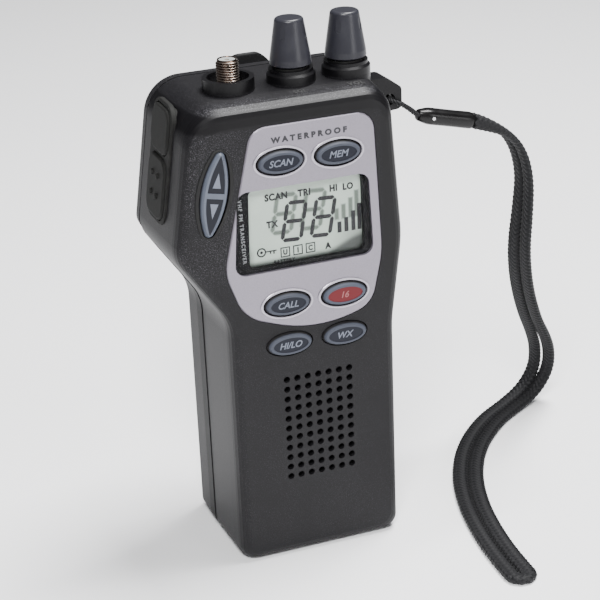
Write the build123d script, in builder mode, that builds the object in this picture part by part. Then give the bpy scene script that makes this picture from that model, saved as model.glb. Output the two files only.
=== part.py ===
from build123d import *
import math
import os

# Handheld VHF radio. Millimetres. +Z up the case, +X to the right seen from the front,
# the front faces -Y, and the origin is the middle of the handle's flat foot.

# ---- driving dimensions ------------------------------------------------------------
FRONT_Y = -17.0  # flat front face
PART_Y = 15.0  # back rim of the front case half
GASKET = 0.5  # seal between the two case halves
BACK_Y = 23.0  # back of the head
TOP_Z = 138.5  # flat top
CREASE_Z = 132.0  # where the front face turns into the bevel
HANDLE_HALF = 25.5  # half the handle's width
WALL = 2.2
SNUG = 0.3  # gap round a moving piece
TOUCH = 0.05  # radial play of a turning shaft

BAY_TOP_Z = 93.6  # the battery bay reaches up to here
BAY_Y = 6.5  # front wall of the battery bay

PLATE_T = 1.0
PLATE_SEAT_Y = -16.2  # floor of the recess that the face plate lies in
KEY_RISE = 1.3  # how far a key stands out of the plate
INNER_Y = FRONT_Y + WALL  # inside of the front wall
WINDOW_TOP_Z = 113.8
SIGHT_TOP_Z = 115.2  # the hole behind the window goes higher than the window does

# key centres (x, z) with half width and half height of their holes
KEYS = {
    "scan_key": (-8.2, 121.0),
    "memory_key": (8.4, 121.0),
    "call_key": (-8.0, 79.7),
    "channel_16_key": (8.9, 79.7),
    "power_level_key": (-7.7, 67.4),
    "weather_key": (8.8, 67.4),
}
KEY_RX, KEY_RZ = 7.0, 3.75
PLATE_KEYS = ("scan_key", "memory_key", "call_key", "channel_16_key")

ROCKER_X, ROCKER_Z = -27.0, 114.6
ROCKER_TILT = 11.8  # degrees that the rocker's long axis leans to the right
ROCKER_HALF, ROCKER_BOW = 12.6, 3.75
ROCKER_RISE = 1.2  # how far its top stands above the front

KNOB_Y = -2.3
SQUELCH_X, VOLUME_X = 1.4, 17.5
KNOB_Z, KNOB_TOP_Z = 143.0, 155.8
KNOB_BASE_R, KNOB_TOP_R = 5.75, 3.9
SHAFT_R = 3.0

POST_X, POST_Y = -16.5, -2.0
POST_R = 3.175
POST_TOP_Z = 146.7
POST_SHOULDER_R, POST_SHOULDER_Z = 3.6, 137.6
POST_RELIEF_R, POST_THREAD_Z = 2.9, 138.1  # groove under the thread, and the thread's start
CUP_R, CUP_TOP_Z, CUP_WALL = 7.1, 141.8, 1.3

LUG_X, LUG_Y, LUG_Z = 31.5, 4.0, 127.6  # eye of the strap lug
CLIP_PIN_Y, CLIP_PIN_Z = 29.6, 122.0

os.makedirs("parts", exist_ok=True)


def save(built, name):
    built.part.label = name
    export_step(built.part, f"parts/{name}.step")


def at_y(y):
    """A sketch plane that faces the front at depth y; its axes are X and Z."""
    return Plane.XZ.offset(-y)


def case_outline(inset, top, foot, lean):
    """The case seen from the front: straight handle, wide ear on the left of the head."""
    half = HANDLE_HALF - inset - lean
    corners = [
        (-half, foot),
        (-half, 76),
        (-39.8 + inset + lean, 97),
        (-33.6 + inset + lean, top),
        (26.0 - inset - lean, top),
        (28.9 - inset - lean, 93),
        (half, 68),
        (half, foot),
    ]
    radii = [4, 14, 9, 11 - inset, 8 - inset, 40, 40, 4]
    with BuildSketch() as shape:
        with BuildLine():
            FilletPolyline(*corners, radius=radii, close=True)
        make_face()
    return shape.sketch


def head_outline(inset, top, foot):
    """The head alone, from the battery bay's roof up."""
    corners = [
        (-36.4 + inset, foot),
        (-39.8 + inset, foot + 3.6),
        (-33.6 + inset, top),
        (26.0 - inset, top),
        (28.9 - inset, foot),
    ]
    with BuildSketch() as shape:
        with BuildLine():
            FilletPolyline(*corners, radius=[3, 5, 11 - inset, 8 - inset, 3], close=True)
        make_face()
    return shape.sketch


def plate_outline(grow=0.0):
    """The bell-shaped face plate."""
    corners = [
        (-16.1, 131.4),
        (-25.4, 91.5),
        (-20.5, 77.4),
        (0.0, 69.6),
        (17.5, 74.6),
        (21.0, 90.0),
        (19.2, 131.4),
    ]
    with BuildSketch() as shape:
        with BuildLine():
            FilletPolyline(*corners, radius=[5.5, 14, 12, 36, 8, 30, 5.5], close=True)
        make_face()
        if grow:
            offset(amount=grow)
    return shape.sketch


def window_outline(grow=0.0, top=WINDOW_TOP_Z):
    """The display window, a little wider at its foot."""
    corners = [(-20.7, top), (-22.4, 90.0), (18.2, 90.0), (17.2, top)]
    with BuildSketch() as shape:
        with BuildLine():
            FilletPolyline(*corners, radius=3.0, close=True)
        make_face()
        if grow:
            offset(amount=grow)
    return shape.sketch


def view_outline():
    """The part of the display that the black mask leaves free."""
    corners = [(-17.3, 113.9), (-17.9, 91.2), (15.9, 91.2), (15.6, 113.9)]
    with BuildSketch() as shape:
        with BuildLine():
            FilletPolyline(*corners, radius=1.8, close=True)
        make_face()
    return shape.sketch


def lens_shape(grow=0.0):
    """The rocker's pointed oval, upright about the sketch's origin."""
    half, bow = ROCKER_HALF + grow, ROCKER_BOW + grow
    with BuildSketch() as shape:
        with BuildLine():
            ThreePointArc((0, -half - 0.9), (bow, 0), (0, half + 0.9))
            ThreePointArc((0, half + 0.9), (-bow, 0), (0, -half - 0.9))
        make_face()
        fillet(vertices(), radius=1.4 + grow)
    return shape.sketch


def rocker_plane(y):
    """A plane that faces the front, turned to the rocker's lean; its Y runs along the rocker."""
    lean = math.radians(ROCKER_TILT)
    return Plane(
        origin=(ROCKER_X, y, ROCKER_Z),
        x_dir=(math.cos(lean), 0, -math.sin(lean)),
        z_dir=(0, -1, 0),
    )


# the left side of the head, where the push-to-talk pads are
SIDE_LEAN = math.atan2(6.2, 41.5)
SIDE_OUT = (-math.cos(SIDE_LEAN), 0, math.sin(SIDE_LEAN))


def side_plane(proud):
    """A plane on the left side face, lifted by proud; its X runs to the front, its Y up."""
    origin = Vector(-35.95, 0, 120.0) + Vector(*SIDE_OUT) * proud
    return Plane(origin=origin, x_dir=(0, -1, 0), z_dir=SIDE_OUT)


def side_pad_outline(low, high, grow=0.0):
    """A side pad between two heights on the side face."""
    with BuildSketch() as shape:
        with Locations((-1.5, (low + high) / 2)):
            RectangleRounded(14.5 + 2 * grow, high - low + 2 * grow, 4.0 + grow)
    return shape.sketch


PADS = {"ptt_button": (-15.6, 1.4), "side_button": (2.6, 15.4)}
SCREWS = [(-31.5, 101.0), (-24.5, 131.0), (19.5, 131.6), (23.4, 99.0)]
BOSS_Y = 7.4  # front end of the screw bosses
BOARD_SCREWS = [(-19.0, 14.0), (19.0, 14.0), (19.0, 86.0), (-19.0, 86.0)]

# ---- front case half ----------------------------------------------------------------
# depth, inset of the sides, height of the top, height of the foot
SECTIONS = [
    (PART_Y, 0.0, TOP_Z, 0.0),
    (1.0, 0.0, TOP_Z, 0.0),
    (-1.0, 0.0, TOP_Z - 0.1, 0.0),
    (-9.0, 0.03, 137.9, 0.03),
    (-12.6, 0.1, 137.3, 0.1),
    (-13.8, 0.2, 137.0, 0.25),
    (-15.3, 0.55, 136.3, 0.65),
    (-16.2, 1.1, 135.6, 1.2),
    (-16.7, 1.8, 134.4, 1.9),
    (FRONT_Y, 2.7, CREASE_Z, 2.8),
]
LEAN_PER_MM = 0.9 / 32.0

with BuildPart() as front_housing:
    for depth, inset, top, foot in SECTIONS:
        with BuildSketch(at_y(depth)):
            add(case_outline(inset, top, foot, (PART_Y - depth) * LEAN_PER_MM))
    loft(ruled=True)
    # collars of the two knobs and the cup round the antenna post
    for collar_x in (SQUELCH_X, VOLUME_X):
        with BuildSketch(Plane.XY.offset(128.0)):
            with Locations((collar_x, KNOB_Y)):
                Circle(6.7)
        extrude(amount=12.6)
        with BuildSketch(Plane.XY.offset(140.6)):
            with Locations((collar_x, KNOB_Y)):
                Circle(6.7)
        with BuildSketch(Plane.XY.offset(141.2)):
            with Locations((collar_x, KNOB_Y)):
                Circle(6.1)
        loft()
        with BuildSketch(Plane.XY.offset(141.2)):
            with Locations((collar_x, KNOB_Y)):
                Circle(6.1)
        extrude(amount=0.9)
    with BuildSketch(Plane.XY.offset(128.0)):
        with Locations((POST_X, POST_Y)):
            Circle(CUP_R)
    extrude(amount=CUP_TOP_Z - 128.0)
    # strap lug on the right side
    with BuildSketch(Plane.XZ.offset(-LUG_Y)):
        with BuildLine():
            FilletPolyline(
                (22, 134.3), (30.5, 134.0), (35.2, 130.8), (35.2, 124.6), (22, 123.4),
                radius=[0, 2.5, 1.6, 1.6, 0], close=True,
            )
        make_face()
    extrude(amount=3.6, both=True)
    # inside of the shell: the full case to the battery bay's wall, the head behind it
    with BuildSketch(at_y(BAY_Y)):
        add(case_outline(3.2, 131.3, 2.4, 0.0))
    extrude(amount=BAY_Y - INNER_Y, mode=Mode.SUBTRACT)
    with BuildSketch(at_y(PART_Y)):
        add(head_outline(2.6, 135.8, BAY_TOP_Z + 2.4))
    extrude(amount=PART_Y + 11.0, mode=Mode.SUBTRACT)
    with BuildSketch(at_y(PART_Y)):
        with Locations((0, BAY_TOP_Z / 2 - 1)):
            Rectangle(90, BAY_TOP_Z + 2)
    extrude(amount=PART_Y - BAY_Y, mode=Mode.SUBTRACT)
    # seats under the collars and the cup
    with BuildSketch(Plane.XY.offset(133.0)):
        with Locations((SQUELCH_X, KNOB_Y), (VOLUME_X, KNOB_Y)):
            Circle(6.7)
        with Locations((POST_X, POST_Y)):
            Circle(CUP_R)
    extrude(amount=4.0)
    with BuildSketch(Plane.XY.offset(130.0)):
        with Locations((SQUELCH_X, KNOB_Y), (VOLUME_X, KNOB_Y)):
            Circle(SHAFT_R + SNUG)
    extrude(amount=20, mode=Mode.SUBTRACT)
    with BuildSketch(Plane.XY.offset(137.4)):
        with Locations((POST_X, POST_Y)):
            Circle(CUP_R - CUP_WALL)
    extrude(amount=20, mode=Mode.SUBTRACT)
    with BuildSketch(Plane.XY.offset(128.0)):
        with Locations((POST_X, POST_Y)):
            Circle(POST_SHOULDER_R)
    extrude(amount=20, mode=Mode.SUBTRACT)
    # eye of the lug
    with BuildSketch(Plane.XZ.offset(-LUG_Y)):
        with Locations((LUG_X, LUG_Z)):
            Circle(1.7)
    extrude(amount=8, both=True, mode=Mode.SUBTRACT)
    # recess for the face plate, window, keys, rocker
    with BuildSketch(at_y(FRONT_Y)):
        add(plate_outline())
        add(window_outline(0.1))
    extrude(amount=-(PLATE_SEAT_Y - FRONT_Y), mode=Mode.SUBTRACT)
    with BuildSketch(at_y(FRONT_Y)):
        add(window_outline(-0.9, SIGHT_TOP_Z))
    extrude(amount=-WALL * 1.5, mode=Mode.SUBTRACT)
    with BuildSketch(at_y(FRONT_Y - 1)):
        for key_x, key_z in KEYS.values():
            with Locations((key_x, key_z)):
                Ellipse(KEY_RX, KEY_RZ)
    extrude(amount=-WALL * 2, mode=Mode.SUBTRACT)
    with BuildSketch(rocker_plane(FRONT_Y)):
        add(lens_shape(1.5))
    extrude(amount=-1.0, mode=Mode.SUBTRACT)
    with BuildSketch(rocker_plane(FRONT_Y)):
        add(lens_shape(SNUG))
    extrude(amount=-WALL * 1.5, mode=Mode.SUBTRACT)
    # speaker grille
    with BuildSketch(at_y(FRONT_Y)):
        with Locations((0.4, 41.0)):
            with GridLocations(3.15, 3.08, 7, 11):
                Circle(0.95)
    extrude(amount=-WALL * 1.5, mode=Mode.SUBTRACT)
    # pockets and holes of the side pads
    with BuildSketch(side_plane(2.0)):
        add(side_pad_outline(-15.6, 15.4, 1.4))
    extrude(amount=-3.2, mode=Mode.SUBTRACT)
    with BuildSketch(side_plane(2.0)):
        for low, high in PADS.values():
            add(side_pad_outline(low, high, SNUG))
    extrude(amount=-8.0, mode=Mode.SUBTRACT)
    # bosses for the case screws, each joined to the top or the side wall by a rib
    with BuildSketch(at_y(PART_Y)):
        for screw_x, screw_z in SCREWS:
            with Locations((screw_x, screw_z)):
                Circle(3.0)
            if screw_z > LUG_Z:
                with Locations((screw_x, screw_z + 2.6)):
                    Rectangle(2.0, 5.2)
            else:
                with Locations((screw_x + math.copysign(2.6, screw_x), screw_z)):
                    Rectangle(5.2, 2.0)
    extrude(amount=PART_Y - BOSS_Y)
    with BuildSketch(at_y(PART_Y)):
        with Locations(*SCREWS):
            Circle(1.25)
    extrude(amount=PART_Y - BOSS_Y, mode=Mode.SUBTRACT)
save(front_housing, "front_housing")

# ---- face plate, window and display --------------------------------------------------
with BuildPart() as face_plate:
    with BuildSketch(at_y(PLATE_SEAT_Y)):
        add(plate_outline(-0.1))
    extrude(amount=PLATE_T)
    rim = face_plate.faces().sort_by(Axis.Y)[0].outer_wire()
    chamfer(rim.edges(), length=0.3)
    with BuildSketch(at_y(PLATE_SEAT_Y - PLATE_T)):
        for name in PLATE_KEYS:
            with Locations(KEYS[name]):
                Ellipse(KEY_RX + 0.75, KEY_RZ + 0.75)
    extrude(amount=0.35)
    with BuildSketch(at_y(PLATE_SEAT_Y)):
        add(window_outline(0.1))
        for name in PLATE_KEYS:
            with Locations(KEYS[name]):
                Ellipse(KEY_RX, KEY_RZ)
    extrude(amount=3, mode=Mode.SUBTRACT)
    lips = face_plate.faces().filter_by(Axis.Y).sort_by(Axis.Y)[0:4]
    chamfer(lips.edges(), length=0.15)
save(face_plate, "face_plate")

with BuildPart() as display_lens:
    with BuildSketch(at_y(PLATE_SEAT_Y)):
        add(window_outline())
    extrude(amount=PLATE_T - 0.1)
save(display_lens, "display_lens")

with BuildPart() as display_mask:
    with BuildSketch(at_y(INNER_Y)):
        add(window_outline(-0.95, SIGHT_TOP_Z))
        add(view_outline(), mode=Mode.SUBTRACT)
    extrude(amount=INNER_Y - PLATE_SEAT_Y)
save(display_mask, "display_mask")

with BuildPart() as lcd_panel:
    with BuildSketch(at_y(INNER_Y + 1.9)):
        with Locations((-1.6, 102.3)):
            Rectangle(40.0, 25.6)
    extrude(amount=1.9)
save(lcd_panel, "lcd_panel")

with BuildPart() as lcd_backlight:
    with BuildSketch(at_y(INNER_Y + 3.1)):
        with Locations((-1.6, 102.3)):
            Rectangle(41.0, 26.4)
    extrude(amount=1.2)
save(lcd_backlight, "lcd_backlight")

# ---- keys ----------------------------------------------------------------------------
for key_name, (key_x, key_z) in KEYS.items():
    surface = PLATE_SEAT_Y - PLATE_T if key_name in PLATE_KEYS else FRONT_Y
    with BuildPart() as key:
        with BuildSketch(at_y(INNER_Y + 0.2)):
            with Locations((key_x, key_z)):
                Ellipse(KEY_RX - SNUG, KEY_RZ - SNUG)
        extrude(amount=INNER_Y + 0.2 - surface)
        with BuildSketch(at_y(surface)):
            with Locations((key_x, key_z)):
                Ellipse(KEY_RX - SNUG, KEY_RZ - SNUG)
        with BuildSketch(at_y(surface - KEY_RISE)):
            with Locations((key_x, key_z)):
                Ellipse(KEY_RX - 1.05, KEY_RZ - 1.0)
        loft()
        fillet(key.faces().sort_by(Axis.Y)[0].edges(), radius=0.35)
        # label well
        with BuildSketch(at_y(surface - KEY_RISE)):
            with Locations((key_x, key_z)):
                Ellipse(KEY_RX - 1.85, KEY_RZ - 1.6)
        extrude(amount=-0.15, mode=Mode.SUBTRACT)
        # flange that keeps the key in its hole
        with BuildSketch(at_y(INNER_Y + 1.0)):
            with Locations((key_x, key_z)):
                Ellipse(KEY_RX + 0.5, KEY_RZ + 0.5)
        extrude(amount=0.85)
    save(key, key_name)

# ---- channel rocker and its gasket ---------------------------------------------------
with BuildPart() as channel_rocker:
    with BuildSketch(rocker_plane(INNER_Y + 0.6)):
        add(lens_shape())
    extrude(amount=INNER_Y + 0.6 - FRONT_Y)
    with BuildSketch(rocker_plane(FRONT_Y)):
        add(lens_shape())
    extrude(amount=ROCKER_RISE, taper=30)
    # the two label wells
    with BuildSketch(rocker_plane(FRONT_Y - ROCKER_RISE)):
        add(lens_shape(-1.35))
        Rectangle(10, 1.5, mode=Mode.SUBTRACT)
    extrude(amount=-0.15, mode=Mode.SUBTRACT)
save(channel_rocker, "channel_rocker")

with BuildPart() as rocker_gasket:
    with BuildSketch(rocker_plane(FRONT_Y + 1.0)):
        add(lens_shape(1.45))
    extrude(amount=1.3)
    fillet(rocker_gasket.faces().sort_by(Axis.Y)[0].edges(), radius=0.25)
    with BuildSketch(rocker_plane(FRONT_Y + 2)):
        add(lens_shape(SNUG + 0.1))
    extrude(amount=4, mode=Mode.SUBTRACT)
save(rocker_gasket, "rocker_gasket")

# ---- side pads -----------------------------------------------------------------------
for pad_name, (low, high) in PADS.items():
    with BuildPart() as pad:
        with BuildSketch(side_plane(-3.6)):
            add(side_pad_outline(low, high))
        extrude(amount=4.7)
        fillet(pad.faces().sort_by(Axis.X)[0].edges(), radius=0.7)
        if pad_name == "ptt_button":
            with BuildSketch(side_plane(1.0)):
                with Locations((-1.5, -6.5)):
                    with GridLocations(4.6, 5.6, 2, 2):
                        Circle(0.8)
            extrude(amount=0.75)
            tips = pad.faces().filter_by(GeomType.PLANE).sort_by(Axis.X)[0:4]
            fillet(tips.edges(), radius=0.35)
        with BuildSketch(side_plane(-4.4)):
            add(side_pad_outline(low, high, -1.2))
        extrude(amount=0.9)
    save(pad, pad_name)

with BuildPart() as side_bezel:
    with BuildSketch(side_plane(-1.2)):
        add(side_pad_outline(-15.6, 15.4, 1.35))
    extrude(amount=1.6)
    fillet(side_bezel.faces().sort_by(Axis.X)[0].edges(), radius=0.4)
    with BuildSketch(side_plane(-2.0)):
        for low, high in PADS.values():
            add(side_pad_outline(low, high, SNUG))
    extrude(amount=4, mode=Mode.SUBTRACT)
save(side_bezel, "side_bezel")

with BuildPart() as side_switches:
    with BuildSketch(side_plane(-7.2)):
        with Locations((-1.5, -7.0), (-1.5, 9.0)):
            Rectangle(6.0, 6.0)
    extrude(amount=1.6)
    with BuildSketch(side_plane(-5.6)):
        with Locations((-1.5, -7.0), (-1.5, 9.0)):
            Circle(1.6)
    extrude(amount=0.2)
save(side_switches, "side_switches")

with BuildPart() as side_board:
    with BuildSketch(side_plane(-8.2)):
        with Locations((-1.5, 1.0)):
            Rectangle(11.0, 28.0)
    extrude(amount=1.0)
save(side_board, "side_board")

# ---- knobs, shafts and controls ------------------------------------------------------
for control, control_x in (("squelch", SQUELCH_X), ("volume", VOLUME_X)):
    with BuildPart() as knob:
        with BuildSketch(Plane.XZ.offset(-KNOB_Y)):
            with BuildLine():
                Polyline(
                    (control_x, KNOB_Z), (control_x + KNOB_BASE_R - 0.3, KNOB_Z),
                    (control_x + KNOB_BASE_R, KNOB_Z + 0.3), (control_x + KNOB_BASE_R - 0.12, KNOB_Z + 1.9),
                    (control_x + KNOB_TOP_R, KNOB_TOP_Z), (control_x, KNOB_TOP_Z), close=True,
                )
            make_face()
        revolve(axis=Axis((control_x, KNOB_Y, 0), (0, 0, 1)))
        fillet(knob.faces().sort_by(Axis.Z)[-1].edges(), radius=0.9)
        # four shallow finger flats near the top
        for turn in range(4):
            angle = math.radians(45 + 90 * turn)
            out = (math.cos(angle), math.sin(angle), 0.12)
            flat_at = (
                control_x + (KNOB_TOP_R + 0.42) * out[0],
                KNOB_Y + (KNOB_TOP_R + 0.42) * out[1],
                KNOB_TOP_Z - 3.6,
            )
            with BuildSketch(Plane(origin=flat_at, z_dir=out)):
                SlotOverall(3.6, 1.5, rotation=90)
            extrude(amount=2.0, mode=Mode.SUBTRACT)
        with BuildSketch(Plane.XY.offset(KNOB_Z)):
            with Locations((control_x, KNOB_Y)):
                Circle(SHAFT_R)
        extrude(amount=9.0, mode=Mode.SUBTRACT)
    save(knob, f"{control}_knob")

    with BuildPart() as shaft:
        with BuildSketch(Plane.XY.offset(129.0)):
            with Locations((control_x, KNOB_Y)):
                Circle(SHAFT_R)
        extrude(amount=KNOB_Z + 9.0 - 129.0)
    save(shaft, f"{control}_shaft")

    with BuildPart() as control_body:
        with BuildSketch(Plane.XY.offset(121.8)):
            with Locations((control_x, KNOB_Y)):
                RectangleRounded(10.6, 11.0, 1.0)
        extrude(amount=9.0)
        with BuildSketch(Plane.XY.offset(128.8)):
            with Locations((control_x, KNOB_Y)):
                Circle(SHAFT_R + TOUCH)
        extrude(amount=3.0, mode=Mode.SUBTRACT)
    save(control_body, f"{control}_control")

    with BuildPart() as seal:
        with BuildSketch(Plane.XY.offset(142.1)):
            with Locations((control_x, KNOB_Y)):
                Circle(5.0)
                Circle(SHAFT_R + SNUG, mode=Mode.SUBTRACT)
        extrude(amount=0.5)
    save(seal, f"{control}_seal")

# ---- antenna connector ---------------------------------------------------------------
with BuildPart() as antenna_connector:
    with BuildSketch(Plane.XY.offset(POST_THREAD_Z)):
        with Locations((POST_X, POST_Y)):
            Circle(POST_R)
    extrude(amount=POST_TOP_Z - POST_THREAD_Z)
    chamfer(antenna_connector.faces().sort_by(Axis.Z)[-1].edges(), length=0.35)
    with BuildSketch(Plane.XY.offset(POST_SHOULDER_Z)):
        with Locations((POST_X, POST_Y)):
            Circle(POST_RELIEF_R)
    extrude(amount=POST_THREAD_Z - POST_SHOULDER_Z)
    with BuildSketch(Plane.XY.offset(130.5)):
        with Locations((POST_X, POST_Y)):
            Circle(POST_SHOULDER_R)
    extrude(amount=POST_SHOULDER_Z - 130.5)
    with BuildSketch(Plane.XY.offset(127.5)):
        with Locations((POST_X, POST_Y)):
            RegularPolygon(4.6, 6)
    extrude(amount=3.0)
    with BuildSketch(Plane.XY.offset(132.0)):
        with Locations((POST_X, POST_Y)):
            Circle(2.3)
    extrude(amount=20, mode=Mode.SUBTRACT)
save(antenna_connector, "antenna_connector")

with BuildPart() as antenna_insulator:
    with BuildSketch(Plane.XY.offset(132.0)):
        with Locations((POST_X, POST_Y)):
            Circle(2.3)
            Circle(0.65, mode=Mode.SUBTRACT)
    extrude(amount=POST_TOP_Z - 0.25 - 132.0)
save(antenna_insulator, "antenna_insulator")

with BuildPart() as antenna_contact:
    with BuildSketch(Plane.XY.offset(132.0)):
        with Locations((POST_X, POST_Y)):
            Circle(0.65)
    extrude(amount=POST_TOP_Z - 0.6 - 132.0)
    with BuildSketch(Plane.XY.offset(POST_TOP_Z - 4.0)):
        with Locations((POST_X, POST_Y)):
            Circle(0.45)
    extrude(amount=8, mode=Mode.SUBTRACT)
save(antenna_contact, "antenna_contact")

with BuildPart() as antenna_washer:
    with BuildSketch(Plane.XY.offset(137.4)):
        with Locations((POST_X, POST_Y)):
            Circle(CUP_R - CUP_WALL - 0.2)
            Circle(POST_SHOULDER_R, mode=Mode.SUBTRACT)
    extrude(amount=0.4)
save(antenna_washer, "antenna_washer")

# ---- inside --------------------------------------------------------------------------
MAT_Y = INNER_Y + 2.6
with BuildPart() as keypad_mat:
    with BuildSketch(at_y(MAT_Y)):
        with Locations((0, 95.0)):
            Rectangle(44.0, 67.0)
        with Locations((-1.6, 102.3)):
            Rectangle(41.6, 27.2, mode=Mode.SUBTRACT)
    extrude(amount=0.6)
    with BuildSketch(at_y(MAT_Y - 0.6)):
        for key_x, key_z in KEYS.values():
            with Locations((key_x, key_z)):
                Circle(2.2)
    extrude(amount=0.25)
save(keypad_mat, "keypad_mat")

BOARD_Y = -8.6
with BuildPart() as main_board:
    with BuildSketch(at_y(BOARD_Y)):
        with Locations((0, 64.0)):
            Rectangle(42.0, 112.0)
    extrude(amount=1.4)
save(main_board, "main_board")

with BuildPart() as rf_shield:
    with BuildSketch(at_y(BOARD_Y + 5.0)):
        with Locations((0, 72.0)):
            Rectangle(33.0, 44.0)
    extrude(amount=5.0)
    with BuildSketch(at_y(BOARD_Y)):
        with Locations((0, 72.0)):
            Rectangle(32.2, 43.2)
    extrude(amount=-4.6, mode=Mode.SUBTRACT)
save(rf_shield, "rf_shield")

with BuildPart() as speaker_frame:
    with BuildSketch(at_y(INNER_Y + 4.4)):
        with Locations((0.4, 41.0)):
            Circle(16.6)
    extrude(amount=4.0)
    with BuildSketch(at_y(INNER_Y + 0.4)):
        with Locations((0.4, 41.0)):
            Circle(15.2)
    extrude(amount=-2.6, mode=Mode.SUBTRACT)
save(speaker_frame, "speaker_frame")

with BuildPart() as speaker_cone:
    with BuildSketch(at_y(INNER_Y + 1.2)):
        with Locations((0.4, 41.0)):
            Circle(15.2)
    with BuildSketch(at_y(INNER_Y + 3.0)):
        with Locations((0.4, 41.0)):
            Circle(7.0)
    loft()
save(speaker_cone, "speaker_cone")

with BuildPart() as grille_cloth:
    with BuildSketch(at_y(INNER_Y + 0.4)):
        with Locations((0.4, 41.0)):
            RectangleRounded(26.0, 37.0, 2.0)
    extrude(amount=0.4)
save(grille_cloth, "grille_cloth")

with BuildPart() as microphone:
    with BuildSketch(at_y(INNER_Y + 3.0)):
        with Locations((-8.5, 18.2)):
            Circle(3.0)
    extrude(amount=2.6)
save(microphone, "microphone")

with BuildPart() as board_screws:
    with BuildSketch(at_y(BOARD_Y)):
        with Locations(*BOARD_SCREWS):
            Circle(2.0)
    extrude(amount=-1.2)
save(board_screws, "board_screws")

# ---- back of the handle: chassis wall with the rail that carries the battery ---------
RAIL_NECK, RAIL_HEAD = 6.0, 10.0
with BuildPart() as chassis_plate:
    with BuildSketch(at_y(BAY_Y)):
        add(case_outline(3.25, 120.0, 2.45, 0.0))
        with Locations((0, 140.0)):
            Rectangle(90, 91.0, mode=Mode.SUBTRACT)
    extrude(amount=2.0)
    with BuildSketch(at_y(BAY_Y + 1.8)):
        with Locations((0, 51.0)):
            Rectangle(RAIL_NECK, 60.0)
    extrude(amount=1.8)
    with BuildSketch(at_y(BAY_Y + 3.4)):
        with Locations((0, 51.0)):
            Rectangle(RAIL_HEAD, 60.0)
    extrude(amount=1.6)
save(chassis_plate, "chassis_plate")

TERMINALS = [(-14.0, 84.0), (14.0, 84.0)]
with BuildPart() as battery_terminals:
    with BuildSketch(at_y(BAY_Y + 0.2)):
        with Locations(*TERMINALS):
            Rectangle(3.0, 8.0)
    extrude(amount=0.2)
save(battery_terminals, "battery_terminals")

# ---- back case half ------------------------------------------------------------------
BACK_SECTIONS = [(PART_Y + GASKET, 0.0), (19.0, 0.25), (21.0, 1.0), (22.3, 2.3), (BACK_Y, 4.2)]
with BuildPart() as rear_housing:
    for depth, inset in BACK_SECTIONS:
        with BuildSketch(at_y(depth)):
            add(head_outline(inset, TOP_Z - inset, BAY_TOP_Z + inset * 0.3))
    loft(ruled=True)
    with BuildSketch(at_y(PART_Y + GASKET)):
        add(head_outline(2.6, 135.8, BAY_TOP_Z + 2.4))
    extrude(amount=-5.0, mode=Mode.SUBTRACT)
    with BuildSketch(at_y(PART_Y + GASKET)):
        with Locations(*SCREWS):
            Circle(3.0)
    extrude(amount=-5.2)
    with BuildSketch(at_y(BACK_Y + 1)):
        with Locations(*SCREWS):
            Circle(2.6)
    extrude(amount=4.6, mode=Mode.SUBTRACT)
    with BuildSketch(at_y(BACK_Y + 1)):
        with Locations(*SCREWS):
            Circle(1.25)
    extrude(amount=20, mode=Mode.SUBTRACT)
save(rear_housing, "rear_housing")

with BuildPart() as case_gasket:
    with BuildSketch(at_y(PART_Y + GASKET)):
        add(head_outline(0.25, TOP_Z - 0.25, BAY_TOP_Z + 0.25))
        add(head_outline(2.6, 135.8, BAY_TOP_Z + 2.4), mode=Mode.SUBTRACT)
        with Locations(*SCREWS):
            Circle(1.25, mode=Mode.SUBTRACT)
    extrude(amount=GASKET)
save(case_gasket, "case_gasket")

with BuildPart() as case_screws:
    with BuildSketch(at_y(19.4 + 1.6)):
        with Locations(*SCREWS):
            Circle(2.4)
    extrude(amount=1.6)
    with BuildSketch(at_y(21.0)):
        with Locations(*SCREWS):
            RegularPolygon(1.2, 6)
    extrude(amount=0.8, mode=Mode.SUBTRACT)
    with BuildSketch(at_y(19.4)):
        with Locations(*SCREWS):
            Circle(1.25)
    extrude(amount=11.0)
save(case_screws, "case_screws")

# ---- battery -------------------------------------------------------------------------
BATTERY_Z = 0.3
BATTERY_TOP_Z = BAY_TOP_Z - SNUG
BATTERY_BACK_Y = 23.0


def battery_outline(inset, foot, top):
    """The case outline cut off at the bay's roof."""
    with BuildSketch() as shape:
        add(case_outline(inset, 130.0, foot, 0.0))
        with Locations((0, top + 40.0)):
            Rectangle(90, 80.0, mode=Mode.SUBTRACT)
    return shape.sketch


BATTERY_SEAM_Y = 11.2
BATTERY_SECTIONS = [(BATTERY_SEAM_Y, 0.0), (19.0, 0.0), (21.2, 0.8), (22.4, 1.9), (BATTERY_BACK_Y, 3.4)]
CHARGE_PADS = [(-9.0, 12.0), (9.0, 12.0)]
with BuildPart() as battery_case:
    for depth, inset in BATTERY_SECTIONS:
        with BuildSketch(at_y(depth)):
            add(battery_outline(inset, BATTERY_Z + inset, BATTERY_TOP_Z))
    loft(ruled=True)
    with BuildSketch(at_y(BATTERY_SEAM_Y)):
        with Locations((0, 46.0)):
            RectangleRounded(45.0, 86.0, 3.0)
    extrude(amount=-10.0, mode=Mode.SUBTRACT)
    with BuildSketch(at_y(BATTERY_BACK_Y)):
        with Locations(*CHARGE_PADS):
            Circle(2.6)
    extrude(amount=0.8, mode=Mode.SUBTRACT)
save(battery_case, "battery_case")

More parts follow.
